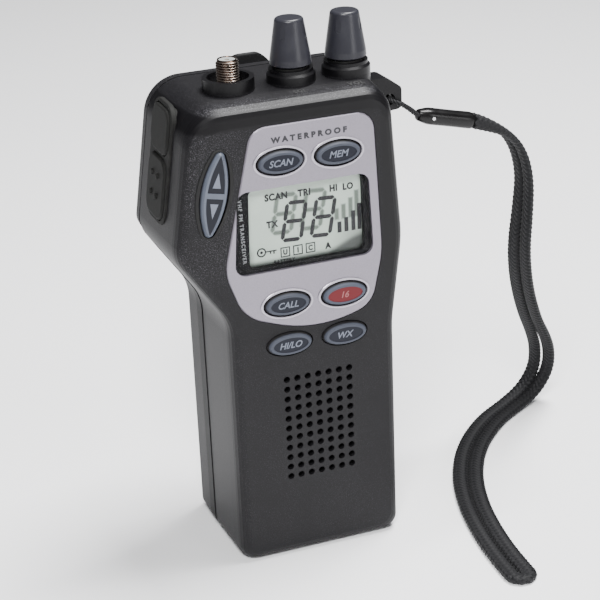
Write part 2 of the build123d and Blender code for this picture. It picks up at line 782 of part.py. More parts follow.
with BuildPart() as battery_lid:
    with BuildSketch(at_y(BATTERY_SEAM_Y)):
        add(battery_outline(0.0, BATTERY_Z, BATTERY_TOP_Z))
    extrude(amount=BATTERY_SEAM_Y - BAY_Y - SNUG)
    # slot that the rail runs in, open at the top
    with BuildSketch(at_y(BAY_Y + 2.1)):
        with Locations((0, 57.0)):
            Rectangle(RAIL_NECK + 2 * SNUG, 80.0)
    extrude(amount=2.4, mode=Mode.SUBTRACT)
    with BuildSketch(at_y(BAY_Y + 3.7)):
        with Locations((0, 57.0)):
            Rectangle(RAIL_HEAD + 2 * SNUG, 80.0)
    extrude(amount=2.2, mode=Mode.SUBTRACT)
    with BuildSketch(at_y(BAY_Y + SNUG)):
        with Locations(*TERMINALS):
            Rectangle(4.0, 9.0)
    extrude(amount=-0.5, mode=Mode.SUBTRACT)
save(battery_lid, "battery_lid")

with BuildPart() as battery_contacts:
    with BuildSketch(at_y(BAY_Y + SNUG + 0.5)):
        with Locations(*TERMINALS):
            Rectangle(4.0, 9.0)
    extrude(amount=0.4)
save(battery_contacts, "battery_contacts")

with BuildPart() as battery_cells:
    with BuildSketch(at_y(BATTERY_SEAM_Y + 9.6)):
        with Locations((0, 24.8), (0, 67.2)):
            RectangleRounded(44.0, 41.6, 2.0)
    extrude(amount=9.4)
save(battery_cells, "battery_cells")

with BuildPart() as charge_contacts:
    with BuildSketch(at_y(BATTERY_BACK_Y - 0.1)):
        with Locations(*CHARGE_PADS):
            Circle(2.6)
    extrude(amount=0.7)
save(charge_contacts, "charge_contacts")

# ---- belt clip -----------------------------------------------------------------------
CLIP_HALF = 7.5
CLIP_PIN_R = 1.2
EAR_IN, EAR_OUT = 7.9, 10.2
BARREL_R = 2.5
SPRING_R, SPRING_WIRE = 1.75, 0.6

with BuildPart() as clip_base:
    with BuildSketch(at_y(BACK_Y)):
        with Locations((0, 118.0)):
            RectangleRounded(2 * EAR_OUT, 27.0, 3.0)
    extrude(amount=-1.8)
    ear = [
        (BACK_Y + 1.0, CLIP_PIN_Z - 6.0), (CLIP_PIN_Y + 2.4, CLIP_PIN_Z - 2.2),
        (CLIP_PIN_Y + 2.4, CLIP_PIN_Z + 2.2), (BACK_Y + 1.0, CLIP_PIN_Z + 6.0),
    ]
    for side in (-1, 1):
        start = EAR_IN if side > 0 else -EAR_OUT
        with BuildSketch(Plane.YZ.offset(start)):
            with BuildLine():
                FilletPolyline(*ear, radius=[0, 2.2, 2.2, 0], close=True)
            make_face()
        extrude(amount=EAR_OUT - EAR_IN)
    with BuildSketch(Plane.YZ.offset(-20)):
        with Locations((CLIP_PIN_Y, CLIP_PIN_Z)):
            Circle(CLIP_PIN_R)
    extrude(amount=40, mode=Mode.SUBTRACT)
save(clip_base, "clip_base")

with BuildPart() as clip_pin:
    with BuildSketch(Plane.YZ.offset(-EAR_OUT - 0.4)):
        with Locations((CLIP_PIN_Y, CLIP_PIN_Z)):
            Circle(CLIP_PIN_R)
    extrude(amount=2 * EAR_OUT + 0.8)
    chamfer(clip_pin.edges().filter_by(GeomType.CIRCLE), length=0.3)
save(clip_pin, "clip_pin")

CLIP_IN_Y = 28.2  # face of the arm towards the case
CLIP_FOOT_Z, CLIP_TOP_Z = 60.4, 137.8
CLIP_CORNER_R = 6.3
with BuildPart() as belt_clip:
    arm = [
        (CLIP_IN_Y + 2.0, CLIP_TOP_Z), (CLIP_IN_Y + 1.2, 128.0), (CLIP_IN_Y, 118.0), (CLIP_IN_Y, 78.0),
        (24.4, 71.0), (CLIP_IN_Y, 61.0), (CLIP_IN_Y + 1.6, CLIP_FOOT_Z), (26.4, 71.0),
        (CLIP_IN_Y + 1.7, 78.6), (CLIP_IN_Y + 1.7, 118.0), (CLIP_IN_Y + 3.2, 128.0),
        (CLIP_IN_Y + 3.8, CLIP_TOP_Z),
    ]
    with BuildSketch(Plane.YZ.offset(-CLIP_HALF)):
        with BuildLine():
            FilletPolyline(*arm, radius=[0.7, 12, 12, 6, 1.2, 0.5, 0.7, 2.6, 7, 12, 12, 0.7], close=True)
        make_face()
        with Locations((CLIP_PIN_Y, CLIP_PIN_Z)):
            Circle(BARREL_R)
    extrude(amount=2 * CLIP_HALF)
    # rounded ends of the arm
    with BuildSketch(at_y(CLIP_IN_Y + 10)):
        with Locations((0, (CLIP_TOP_Z + CLIP_FOOT_Z) / 2)):
            RectangleRounded(2 * CLIP_HALF, CLIP_TOP_Z - CLIP_FOOT_Z + 0.1, CLIP_CORNER_R)
    extrude(amount=20, mode=Mode.INTERSECT)
    with BuildSketch(Plane.YZ.offset(-20)):
        with Locations((CLIP_PIN_Y, CLIP_PIN_Z)):
            Circle(CLIP_PIN_R + TOUCH)
    extrude(amount=40, mode=Mode.SUBTRACT)
    # gap in the barrel for the spring
    with BuildSketch(Plane.YZ.offset(-3.2)):
        with Locations((CLIP_PIN_Y, CLIP_PIN_Z)):
            Circle(BARREL_R + 0.4)
        with Locations((CLIP_PIN_Y - 3.0, CLIP_PIN_Z)):
            Rectangle(6.0, 2 * BARREL_R + 0.8)
    extrude(amount=6.4, mode=Mode.SUBTRACT)
save(belt_clip, "belt_clip")

with BuildPart() as clip_spring:
    for turn in range(7):
        with BuildSketch(Plane.XY.offset(CLIP_PIN_Z)):
            with Locations((-2.4 + 0.8 * turn, CLIP_PIN_Y - SPRING_R)):
                Circle(SPRING_WIRE / 2 + 0.11)
        revolve(axis=Axis((0, CLIP_PIN_Y, CLIP_PIN_Z), (1, 0, 0)))
save(clip_spring, "clip_spring")

# ---- wrist strap ---------------------------------------------------------------------
CORD_D = 1.3
BAND_D = 4.2


def rounded_route(points, least):
    """Straight runs joined by arcs as large as the two runs beside each corner allow."""
    radii = []
    for before, at, after in zip(points, points[1:], points[2:]):
        into = Vector(*at) - Vector(*before)
        out_of = Vector(*after) - Vector(*at)
        turn = math.radians(into.get_angle(out_of))
        radii.append(0.45 * min(into.length, out_of.length) / math.tan(turn / 2))
    print("route radii", [round(radius, 1) for radius in radii], "least allowed", round(least, 1))
    return radii


SLEEVE_START = Vector(41.4, LUG_Y, 120.6)
SLEEVE_DIR = Vector(0.97, 0.0, -0.24).normalized()
SLEEVE_LENGTH = 18.0
SLEEVE_END = SLEEVE_START + SLEEVE_DIR * SLEEVE_LENGTH

LOOP_ROUTE = [
    (SLEEVE_START.X, LUG_Y - 0.9, SLEEVE_START.Z),
    (LUG_X + 5.6, LUG_Y - 4.3, LUG_Z - 2.9),
    (LUG_X, LUG_Y - 6.0, LUG_Z),
    (LUG_X, LUG_Y + 6.0, LUG_Z),
    (LUG_X + 5.6, LUG_Y + 4.3, LUG_Z - 2.9),
    (SLEEVE_START.X, LUG_Y + 0.9, SLEEVE_START.Z),
]
with BuildPart() as strap_cord:
    with BuildLine() as loop_path:
        FilletPolyline(*LOOP_ROUTE, radius=[4.0, 2.2, 2.2, 4.0])
    with BuildSketch(Plane(origin=loop_path.line @ 0, z_dir=loop_path.line % 0)):
        Circle(CORD_D / 2)
    sweep(path=loop_path.line)
save(strap_cord, "strap_cord")

with BuildPart() as strap_sleeve:
    with BuildSketch(Plane(origin=SLEEVE_START, x_dir=(0, 1, 0), z_dir=SLEEVE_DIR)):
        RectangleRounded(5.2, 4.8, 2.2)
    extrude(amount=SLEEVE_LENGTH)
    chamfer(strap_sleeve.faces().filter_by(GeomType.PLANE).sort_by(Axis.X)[-1].edges(), length=0.4)
save(strap_sleeve, "strap_sleeve")

with BuildPart() as strap_rivet:
    rivet_at = SLEEVE_START + SLEEVE_DIR * 4.2 + Vector(0, -2.6, 0)
    with BuildSketch(Plane(origin=rivet_at, z_dir=(0, -1, 0))):
        Circle(0.5)
    extrude(amount=0.35)
save(strap_rivet, "strap_rivet")

BAND_LIE_Z = BAND_D / 2 + 0.05  # the band's middle where it lies on the ground
BAND_ROUTE = [
    (SLEEVE_END.X, SLEEVE_END.Y, SLEEVE_END.Z),
    (67.0, 4.3, 113.3),
    (73.8, 5.2, 106.8),
    (77.6, 6.8, 96.0),
    (78.2, 9.2, 83.0),
    (79.0, 13.0, 69.5),
    (83.4, 19.5, 54.5),
    (90.6, 27.6, 39.2),
    (96.6, 33.0, 29.6),
    (101.4, 38.4, 20.6),
    (102.8, 41.6, 11.6),
    (98.8, 42.2, 4.2),
    (90.6, 39.4, BAND_LIE_Z),
    (78.4, 31.8, BAND_LIE_Z),
    (65.2, 18.0, BAND_LIE_Z),
    (55.6, 1.5, BAND_LIE_Z),
    (49.6, -15.5, BAND_LIE_Z),
    (46.2, -32.5, BAND_LIE_Z),
    (44.6, -48.0, BAND_LIE_Z),
    (44.4, -61.0, BAND_LIE_Z),
]
with BuildPart() as wrist_strap:
    with BuildLine() as band_path:
        FilletPolyline(*BAND_ROUTE, radius=rounded_route(BAND_ROUTE, 3 * BAND_D))
    with BuildSketch(Plane(origin=band_path.line @ 0, z_dir=band_path.line % 0)):
        Circle(BAND_D / 2)
    sweep(path=band_path.line)
band_length = sum(edge.length for edge in band_path.edges())
section_volume = math.pi * BAND_D**2 / 4 * band_length
volume_share = wrist_strap.part.volume / section_volume
print("band length", round(band_length, 1), "volume share", round(volume_share, 4))
save(wrist_strap, "wrist_strap")
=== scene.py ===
import math

import bmesh
import bpy
from mathutils import Matrix, Vector


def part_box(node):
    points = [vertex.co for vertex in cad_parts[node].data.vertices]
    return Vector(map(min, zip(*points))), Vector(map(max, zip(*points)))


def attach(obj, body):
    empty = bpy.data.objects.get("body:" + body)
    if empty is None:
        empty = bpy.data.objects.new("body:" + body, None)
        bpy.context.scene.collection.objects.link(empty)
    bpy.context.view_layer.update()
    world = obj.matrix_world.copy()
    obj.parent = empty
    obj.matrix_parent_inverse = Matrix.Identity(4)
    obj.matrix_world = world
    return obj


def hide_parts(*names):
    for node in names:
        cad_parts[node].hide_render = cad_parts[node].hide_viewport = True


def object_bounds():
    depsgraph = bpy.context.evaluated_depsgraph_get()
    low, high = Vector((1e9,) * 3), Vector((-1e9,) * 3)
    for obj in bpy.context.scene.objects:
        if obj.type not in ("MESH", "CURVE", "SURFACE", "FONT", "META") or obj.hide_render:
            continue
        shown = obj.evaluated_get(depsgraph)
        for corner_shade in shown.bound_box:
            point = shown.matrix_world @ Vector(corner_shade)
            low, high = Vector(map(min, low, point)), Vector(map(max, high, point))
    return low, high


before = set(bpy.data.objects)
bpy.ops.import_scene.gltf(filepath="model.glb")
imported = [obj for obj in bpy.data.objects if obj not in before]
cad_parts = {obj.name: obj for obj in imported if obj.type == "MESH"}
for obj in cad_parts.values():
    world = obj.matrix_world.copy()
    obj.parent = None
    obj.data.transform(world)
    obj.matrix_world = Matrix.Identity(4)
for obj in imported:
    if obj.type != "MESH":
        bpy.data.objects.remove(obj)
cad_low, cad_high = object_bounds()

# Handheld VHF radio. The frame is in metres: +Z up the case, +X right, the front faces -Y.
MM = 0.001

# ---- where things are, from the frame ------------------------------------------------


def middle(node):
    low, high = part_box(node)
    return (low + high) / 2


PLATE_FACE_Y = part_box("display_mask")[0].y - 1.0 * MM
LCD_FACE_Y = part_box("lcd_panel")[0].y
POST_LOW, POST_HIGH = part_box("antenna_connector")
POST = middle("antenna_insulator")
WELL = 0.15 * MM  # how deep the label wells of the keys and the rocker are
KEYS = ("scan_key", "memory_key", "call_key", "channel_16_key", "power_level_key", "weather_key")
ROCKER = middle("channel_rocker")
ROCKER_LEAN = math.radians(11.8)

# ---- the wrist strap's routes, in metres ---------------------------------------------
LIE_Z = 1.15 * MM  # the flat band's middle where it lies on the ground
BAND_ROUTE = [
    (0.05887, 0.0040, 0.11628),
    (0.0670, 0.0043, 0.1133),
    (0.0738, 0.0052, 0.1068),
    (0.0776, 0.0068, 0.0960),
    (0.0782, 0.0092, 0.0830),
    (0.0790, 0.0130, 0.0695),
    (0.0834, 0.0195, 0.0545),
    (0.0906, 0.0276, 0.0392),
    (0.0966, 0.0330, 0.0296),
    (0.1014, 0.0384, 0.0206),
    (0.1028, 0.0416, 0.0116),
    (0.0988, 0.0422, 0.0042),
    (0.0906, 0.0394, LIE_Z),
    (0.0784, 0.0318, LIE_Z),
    (0.0652, 0.0180, LIE_Z),
    (0.0556, 0.0015, LIE_Z),
    (0.0496, -0.0155, LIE_Z),
    (0.0462, -0.0325, LIE_Z),
    (0.0446, -0.0480, LIE_Z),
    (0.0444, -0.0610, LIE_Z),
]
LOOP_ROUTE = [
    (0.0414, 0.0031, 0.1206),
    (0.0371, -0.0003, 0.1247),
    (0.0315, -0.0020, 0.1276),
    (0.0315, 0.0100, 0.1276),
    (0.0371, 0.0083, 0.1247),
    (0.0414, 0.0049, 0.1206),
]
BAND_LENGTH, BAND_WIDTH = 0.2585, 0.0092
CORD_D = 1.3 * MM

# ---- making and placing pieces -------------------------------------------------------


def new_piece(name, mesh, material, body, smooth_to=35.0):
    """A finished piece: its mesh is already in place, and its object stays at the origin."""
    piece = bpy.data.objects.new(name, mesh)
    bpy.context.scene.collection.objects.link(piece)
    mesh.materials.clear()
    mesh.materials.append(material)
    if smooth_to:
        mesh.shade_smooth()
        mesh.set_sharp_from_angle(angle=math.radians(smooth_to))
    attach(piece, body)
    return piece


def mesh_of(name, points, faces):
    mesh = bpy.data.meshes.new(name)
    mesh.from_pydata([tuple(p) for p in points], [], faces)
    mesh.update()
    return mesh


def outward(mesh):
    """Turns the faces of closed shells to the outside."""
    work = bmesh.new()
    work.from_mesh(mesh)
    bmesh.ops.recalc_face_normals(work, faces=work.faces)
    work.to_mesh(mesh)
    work.free()
    return mesh


def tube(rings, closed=False):
    """Points and quads through equal rings, capped at both ends unless it is closed."""
    size = len(rings[0])
    points = [p for ring in rings for p in ring]
    faces = []
    last = len(rings) if closed else len(rings) - 1
    for i in range(last):
        a, b = i * size, (i + 1) % len(rings) * size
        for j in range(size):
            k = (j + 1) % size
            faces.append((a + j, a + k, b + k, b + j))
    if not closed:
        faces.append(tuple(reversed(range(size))))
        faces.append(tuple(range(len(points) - size, len(points))))
    return points, faces


def joined(parts):
    """Several (points, faces) as one."""
    points, faces = [], []
    for some_points, some_faces in parts:
        start = len(points)
        points += list(some_points)
        faces += [tuple(start + i for i in face) for face in some_faces]
    return points, faces


def prism(outline, depth, y):
    """A flat shape in (x, z), seen from the front, from y back to y + depth."""
    front = [Vector((x, y, z)) for x, z in outline]
    back = [Vector((x, y + depth, z)) for x, z in outline]
    return tube([back, front])


def smooth_line(name, route, steps):
    """The smooth line through a cord's route, as points read from its spline."""
    curve = bpy.data.curves.new(name, "CURVE")
    curve.dimensions = "3D"
    curve.resolution_u = steps
    spline = curve.splines.new("NURBS")
    spline.points.add(len(route) - 1)
    for point, at in zip(spline.points, route):
        point.co = (*at, 1.0)
    spline.order_u = 3
    spline.use_endpoint_u = True
    holder = bpy.data.objects.new(name, curve)
    bpy.context.scene.collection.objects.link(holder)
    mesh = bpy.data.meshes.new_from_object(holder)
    line = [v.co.copy() for v in mesh.vertices]
    bpy.data.objects.remove(holder)
    bpy.data.meshes.remove(mesh)
    bpy.data.curves.remove(curve)
    return line


def distances(line):
    """How far along the line each of its points is."""
    marks = [0.0]
    for a, b in zip(line, line[1:]):
        marks.append(marks[-1] + (b - a).length)
    return marks


def ease(low, high, at):
    """0 below low, 1 above high, smooth between."""
    t = min(1.0, max(0.0, (at - low) / (high - low)))
    return t * t * (3 - 2 * t)


# ---- camera --------------------------------------------------------------------------


CAMERA_PLACE = (-0.16018, -0.44577, 0.27833)
CAMERA_TURN = (-20.0, 23.5, 2.45)  # azimuth, height and roll in degrees
CAMERA_LENS = 108.0


def make_camera():
    azimuth, height, roll = (math.radians(a) for a in CAMERA_TURN)
    back = Vector((
        math.sin(azimuth) * math.cos(height),
        -math.cos(azimuth) * math.cos(height),
        math.sin(height),
    ))
    level = Vector((math.cos(azimuth), math.sin(azimuth), 0))
    up = back.cross(level)
    right = level * math.cos(roll) - up * math.sin(roll)
    top = level * math.sin(roll) + up * math.cos(roll)
    data = bpy.data.cameras.new("camera")
    data.lens = CAMERA_LENS
    data.clip_start = 0.01
    camera = bpy.data.objects.new("camera", data)
    bpy.context.scene.collection.objects.link(camera)
    camera.matrix_world = Matrix((right, top, back)).transposed().to_4x4()
    camera.location = CAMERA_PLACE
    bpy.context.scene.camera = camera


make_camera()

# ---- shader maths --------------------------------------------------------------------


class Value:
    """A shader value. Arithmetic on it adds the Math nodes that work it out."""

    def __init__(self, finish, out):
        self.finish, self.out = finish, out

    def calc(self, operation, first, second=None):
        inputs = {0: first} if second is None else {0: first, 1: second}
        return self.finish.node("ShaderNodeMath", {"operation": operation}, inputs)

    def __add__(self, other):
        return self.calc("ADD", self, other)

    __radd__ = __add__

    def __sub__(self, other):
        return self.calc("SUBTRACT", self, other)

    def __rsub__(self, other):
        return self.calc("SUBTRACT", other, self)

    def __mul__(self, other):
        return self.calc("MULTIPLY", self, other)

    __rmul__ = __mul__

    def __truediv__(self, other):
        return self.calc("DIVIDE", self, other)

    def __abs__(self):
        return self.calc("ABSOLUTE", self)

    def __pow__(self, other):
        return self.calc("POWER", self, other)

    def sine(self):
        return self.calc("SINE", self)

    def over(self, low, high):
        """0 at low, 1 at high, smooth between."""
        return self.finish.node(
            "ShaderNodeMapRange",
            {"interpolation_type": "SMOOTHSTEP"},
            {"Value": self, "From Min": low, "From Max": high},
        )


class Finish:
    """A material on Object coordinates, built from expressions."""

    def __init__(self, name):
        self.material = bpy.data.materials.new(name)
        self.material.use_nodes = True
        self.tree = self.material.node_tree
        self.shader = self.tree.nodes["Principled BSDF"]
        self.place = self.node("ShaderNodeTexCoord", output="Object")

    def node(self, kind, settings=None, inputs=None, output=0):
        """Any node, from its type, its settings, and the values or links of its sockets."""
        made = self.tree.nodes.new(kind)
        for key, value in (settings or {}).items():
            setattr(made, key, value)
        for key, value in (inputs or {}).items():
            self.feed(made.inputs[key], value)
        return Value(self, made.outputs[output])

    def feed(self, socket, value):
        """Links a shader value to a socket, or sets a plain number or colour on it."""
        if isinstance(value, Value):
            self.tree.links.new(value.out, socket)
        elif isinstance(value, tuple) and len(value) == 3 and socket.type == "RGBA":
            socket.default_value = (*value, 1.0)
        else:
            socket.default_value = value

    def axes(self):
        """x, y and z of Object coordinates."""
        split = self.node("ShaderNodeSeparateXYZ", None, {0: self.place})
        outs = split.out.node.outputs
        return [Value(self, out) for out in outs]

    def stretched(self, x, y, z):
        """Object coordinates with each axis scaled, for drawn-out grain."""
        return self.node(
            "ShaderNodeVectorMath",
            {"operation": "MULTIPLY"},
            {0: self.place, 1: (x, y, z)},
        )

    def noise(self, size, detail=2.0, place=None, warp=0.0):
        """Soft noise whose lumps are about size metres across."""
        return self.node(
            "ShaderNodeTexNoise",
            None,
            {
                "Vector": place or self.place,
                "Scale": 1.0 / size,
                "Detail": detail,
                "Distortion": warp,
            },
        )

    def cells(self, size):
        """Distance from the middles of cells about size metres across."""
        return self.node(
            "ShaderNodeTexVoronoi",
            {"feature": "F1"},
            {"Vector": self.place, "Scale": 1.0 / size},
        )

    def mix(self, share, first, second):
        """A colour that goes from first to second as share goes from 0 to 1."""
        made = self.tree.nodes.new("ShaderNodeMix")
        made.data_type = "RGBA"
        self.feed(made.inputs[0], share)
        self.feed(made.inputs[6], first)
        self.feed(made.inputs[7], second)
        return Value(self, made.outputs[2])

    def bump(self, height, distance, strength):
        inputs = {"Height": height, "Distance": distance, "Strength": strength}
        return self.node("ShaderNodeBump", None, inputs)

    def done(self, **sockets):
        """The material, with these constants or values on its shader's own sockets."""
        names = {
            "base": "Base Color",
            "rough": "Roughness",
            "metal": "Metallic",
            "normal": "Normal",
            "alpha": "Alpha",
            "coat": "Coat Weight",
            "coat_rough": "Coat Roughness",
            "sheen": "Sheen Weight",
            "specular": "Specular IOR Level",
        }
        for key, value in sockets.items():
            self.feed(self.shader.inputs[names[key]], value)
        return self.material


# ---- finishes ------------------------------------------------------------------------
GRAIN_RELIEF = 0.035 * MM  # depth of the moulded plastic's grain


def grained_plastic(name, dark, fleck, share, grain=0.30 * MM, rough=0.42):
    """Spark-eroded moulded plastic: near black, with fine pale flecks on a low grain."""
    f = Finish(name)
    fine = f.noise(grain, 2.0)
    pits = f.cells(grain * 1.5)
    coarse = f.noise(16 * MM, 2.0)
    flecks = fine.over(0.57, 0.74) * share * coarse.over(0.15, 0.7)
    base = f.mix(flecks, dark, fleck)
    roughness = rough + fine * 0.2 + coarse * 0.08
    normal = f.bump(fine + pits * 0.6, GRAIN_RELIEF, 0.7)
    return f.done(base=base, rough=roughness, normal=normal, specular=0.2)


def case_front():
    """The front case half: grained on its flat face and top slope, smooth on the band between
    them, round the right-hand edge and on the collars. Its top slope carries denser pale flecks
    as a painted highlight."""
    f = Finish("case_front")
    x, y, z = f.axes()
    fine = f.noise(0.23 * MM, 2.0)
    pits = f.cells(0.38 * MM)
    coarse = f.noise(16 * MM, 2.0)
    band = z.over(130.6 * MM, 132.2 * MM) * (1.0 - z.over(135.2 * MM, 136.0 * MM))
    edge = x.over(20.5 * MM, 22.5 * MM) * z.over(70 * MM, 92 * MM)
    collar = z.over(138.55 * MM, 138.7 * MM)
    smooth = (band + edge + collar).over(0.0, 1.0)
    slope = z.over(135.4 * MM, 136.4 * MM) * (1.0 - y.over(-13.5 * MM, -9.0 * MM))
    cheek = (1.0 - x.over(-21 * MM, -14 * MM)) * (1.0 - y.over(-16.6 * MM, -15.8 * MM))
    cheek = cheek * z.over(84 * MM, 96 * MM)
    # the extra pale flecks on the top slope are a painted highlight
    strength = 0.10 + slope * 0.55 + cheek * 0.26
    flecks = fine.over(0.54, 0.72) * strength * coarse.over(0.1, 0.6) * (1.0 - smooth)
    base = f.mix(flecks, (0.0046, 0.0043, 0.0052), (0.24, 0.235, 0.26))
    base = f.mix(smooth * 0.7, base, (0.0028, 0.0026, 0.0031))
    roughness = 0.44 + fine * 0.14 - smooth * 0.16 - slope * 0.1
    normal = f.bump((fine + pits * 0.6) * (1.0 - smooth * 0.85), GRAIN_RELIEF, 0.7)
    return f.done(base=base, rough=roughness, normal=normal, specular=0.2)


def smooth_plastic(name, colour, rough, worn, specular):
    """Plain moulded plastic with faint flow marks and wear."""
    f = Finish(name)
    cloud = f.noise(5 * MM, 3.0)
    fine = f.noise(0.22 * MM, 2.0)
    base = f.mix(cloud.over(0.45, 0.85) * 0.5, colour, worn)
    return f.done(
        base=base,
        rough=rough + cloud * 0.1 + fine * 0.06,
        normal=f.bump(fine, 0.012 * MM, 0.4),
        specular=specular,
    )


def rubber(name, colour, grain=0.18 * MM, rough=0.72):
    """Matte moulded rubber with dust in its grain."""
    f = Finish(name)
    fine = f.noise(grain, 3.0)
    dust = f.noise(3.2 * MM, 4.0)
    pale = tuple(c * 1.9 + 0.008 for c in colour)
    base = f.mix(dust.over(0.48, 0.8) * 0.6, colour, pale)
    normal = f.bump(fine, 0.02 * MM, 0.6)
    return f.done(base=base, rough=rough + dust * 0.14, normal=normal, specular=0.25)


def plate_paint():
    """Silver-lilac metallic paint under a satin clear coat, with a painted highlight: paler on the
    raised lips.
    """
    f = Finish("plate_paint")
    _, y, _ = f.axes()
    flake = f.noise(0.16 * MM, 2.0)
    cloud = f.noise(14 * MM, 2.0)
    lip_highlight = 1.0 - y.over(PLATE_FACE_Y - 0.28 * MM, PLATE_FACE_Y - 0.08 * MM)
    base = f.mix(flake, (0.135, 0.122, 0.148), (0.265, 0.243, 0.288))
    base = f.mix(cloud.over(0.3, 0.8) * 0.4, base, (0.22, 0.202, 0.24))
    # painted highlight: the raised lips round the keys are given a paler colour
    base = f.mix(lip_highlight * 0.7, base, (0.42, 0.40, 0.45))
    return f.done(
        base=base,
        metal=0.45,
        rough=0.30 + flake * 0.12 - lip_highlight * 0.08,
        normal=f.bump(flake, 0.006 * MM, 0.35),
        coat=0.25,
        coat_rough=0.22,
    )


def metal(name, colour, rough, along=(1, 1, 1)):
    """Machined or drawn metal, its fine lines stretched along one axis."""
    f = Finish(name)
    lines = f.noise(0.3 * MM, 3.0, f.stretched(*along))
    cloud = f.noise(2.4 * MM, 3.0)
    base = f.mix(cloud.over(0.35, 0.8) * 0.55, colour, tuple(c * 0.72 for c in colour))
    return f.done(
        base=base,
        metal=1.0,
        rough=rough + lines * 0.16 + cloud * 0.08,
        normal=f.bump(lines, 0.008 * MM, 0.35),
    )


def post_metal():
    """Nickel over brass: pale on the thread's crests and everything further from the axis, warm
    brown further in.
    """
    f = Finish("post_metal")
    x, y, _ = f.axes()
    out = (x - POST.x) ** 2.0 + (y - POST.y) ** 2.0
    crest = out.over((2.86 * MM) ** 2, (3.12 * MM) ** 2)
    cloud = f.noise(1.6 * MM, 3.0)
    warm = f.mix(cloud.over(0.35, 0.7), (0.10, 0.065, 0.048), (0.22, 0.15, 0.115))
    base = f.mix(crest * 0.85, warm, (0.56, 0.48, 0.42))
    return f.done(base=base, metal=1.0, rough=0.17 + cloud * 0.14)


def key_finish(name, node, label, rim, wall_shade):
    """A key: dark label ellipse, paler rounded rim, and painted shade on its sides, darkest deep in
    its recess.
    """
    f = Finish(name)
    low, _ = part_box(node)
    centre = middle(node)
    x, y, z = f.axes()
    away = ((x - centre.x) / (5.15 * MM)) ** 2.0 + ((z - centre.z) / (2.15 * MM)) ** 2.0
    far = ((x - centre.x) / (6.15 * MM)) ** 2.0 + ((z - centre.z) / (2.95 * MM)) ** 2.0
    deep = (y - low.y).over(0.45 * MM, 1.0 * MM)
    fine = f.noise(0.2 * MM, 2.0)
    cloud = f.noise(2.2 * MM, 3.0)
    rim_tone = f.mix(cloud * 0.4, rim, tuple(c * 1.25 for c in rim))
    base = f.mix(away.over(0.94, 1.06), label, rim_tone)
    # painted shade: the key goes dark down its sides and deep in its recess
    base = f.mix(deep + far.over(1.05, 1.22) - deep * far.over(1.05, 1.22), base, wall_shade)
    return f.done(
        base=base,
        rough=0.34 + away.over(0.94, 1.06) * 0.12 + fine * 0.1,
        normal=f.bump(fine, 0.008 * MM, 0.4),
        specular=0.22,
    )


def rocker_finish():
    """The rocker: pale frame and bar, two dark sunk cells, and painted shade down its sides."""
    f = Finish("rocker_finish")
    x, y, z = f.axes()
    lean_c, lean_s = math.cos(ROCKER_LEAN), math.sin(ROCKER_LEAN)
    across = (x - ROCKER.x) * lean_c - (z - ROCKER.z) * lean_s
    along = (x - ROCKER.x) * lean_s + (z - ROCKER.z) * lean_c
    reach = 1.0 - (along / (11.3 * MM)) ** 2.0
    inside = (reach * (2.42 * MM) - abs(across)).over(0.0, 0.12 * MM)
    bar = abs(along).over(0.72 * MM, 0.80 * MM)
    top = 1.0 - (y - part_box("channel_rocker")[0].y).over(0.22 * MM, 0.3 * MM)
    cell = inside * bar * top
    side = (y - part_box("channel_rocker")[0].y).over(0.5 * MM, 1.3 * MM)
    cloud = f.noise(3 * MM, 3.0)
    frame_tone = f.mix(cloud * 0.6, (0.070, 0.080, 0.105), (0.11, 0.124, 0.155))
    # painted shade: the rocker darkens down its sides into its recess
    base = f.mix(side, frame_tone, (0.03, 0.033, 0.042))
    base = f.mix(cell, base, (0.0025, 0.0034, 0.008))
    fine = f.noise(0.2 * MM, 2.0)
    return f.done(
        base=base,
        rough=0.30 + fine * 0.12 + cell * 0.1,
        normal=f.bump(fine, 0.006 * MM, 0.4),
        specular=0.26,
    )


def lcd_back():
    """The display's grey-green reflector, with painted shade towards its edges: along its foot,
    towards its lower right and at its lower left.
    """
    f = Finish("lcd_back")
    low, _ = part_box("lcd_panel")
    x, _, z = f.axes()
    fine = f.noise(0.12 * MM, 2.0)
    cloud = f.noise(12 * MM, 2.0)
    right = (x - low.x).over(26 * MM, 38 * MM)
    foot = 1.0 - (z - low.z + right * (-3.5 * MM)).over(1.6 * MM, 3.6 * MM)
    corner_shade = right * (1.0 - (z - low.z).over(2.0 * MM, 15 * MM))
    left = 1.0 - (x - low.x).over(4.3 * MM, 6.2 * MM)
    left = left * (1.0 - (z - low.z).over(5.0 * MM, 8.5 * MM))
    base = f.mix(cloud, (0.385, 0.46, 0.40), (0.46, 0.535, 0.47))
    # painted shade: the reflector goes dark towards its lower right and its lower left, then along
    # its foot
    base = f.mix(corner_shade * 0.72 + left * 0.4, base, (0.035, 0.045, 0.036))
    base = f.mix(foot * 0.93, base, (0.022, 0.027, 0.024))
    normal = f.bump(fine, 0.004 * MM, 0.3)
    return f.done(base=base, rough=0.42 + fine * 0.1, normal=normal, coat=0.2)


def ink(name, colour, rough=0.5):
    """Printed or driven marks, and the painted shadows of the display's figures: nearly flat, a
    little uneven.
    """
    f = Finish(name)
    fine = f.noise(0.25 * MM, 3.0)
    base = f.mix(fine * 0.5, colour, tuple(c * 0.75 + 0.01 for c in colour))
    return f.done(base=base, rough=rough + fine * 0.1)


def window():
    """Hard-coated clear window: nearly nothing head-on, a mirror at a slant."""
    f = Finish("window")
    slant = f.node("ShaderNodeLayerWeight", None, {"Blend": 0.35}, output="Facing")
    smear = f.noise(9 * MM, 2.0)
    alpha = 0.035 + slant ** 3.0 * 0.5
    return f.done(base=(0.004, 0.005, 0.005), rough=0.07 + smear * 0.03, alpha=alpha)


def mask_print():
    """The black print round the display: dull, with a faint unevenness."""
    f = Finish("mask_print")
    cloud = f.noise(4 * MM, 3.0)
    base = f.mix(cloud, (0.003, 0.003, 0.0035), (0.006, 0.006, 0.007))
    return f.done(base=base, rough=0.5 + cloud * 0.1, specular=0.15)


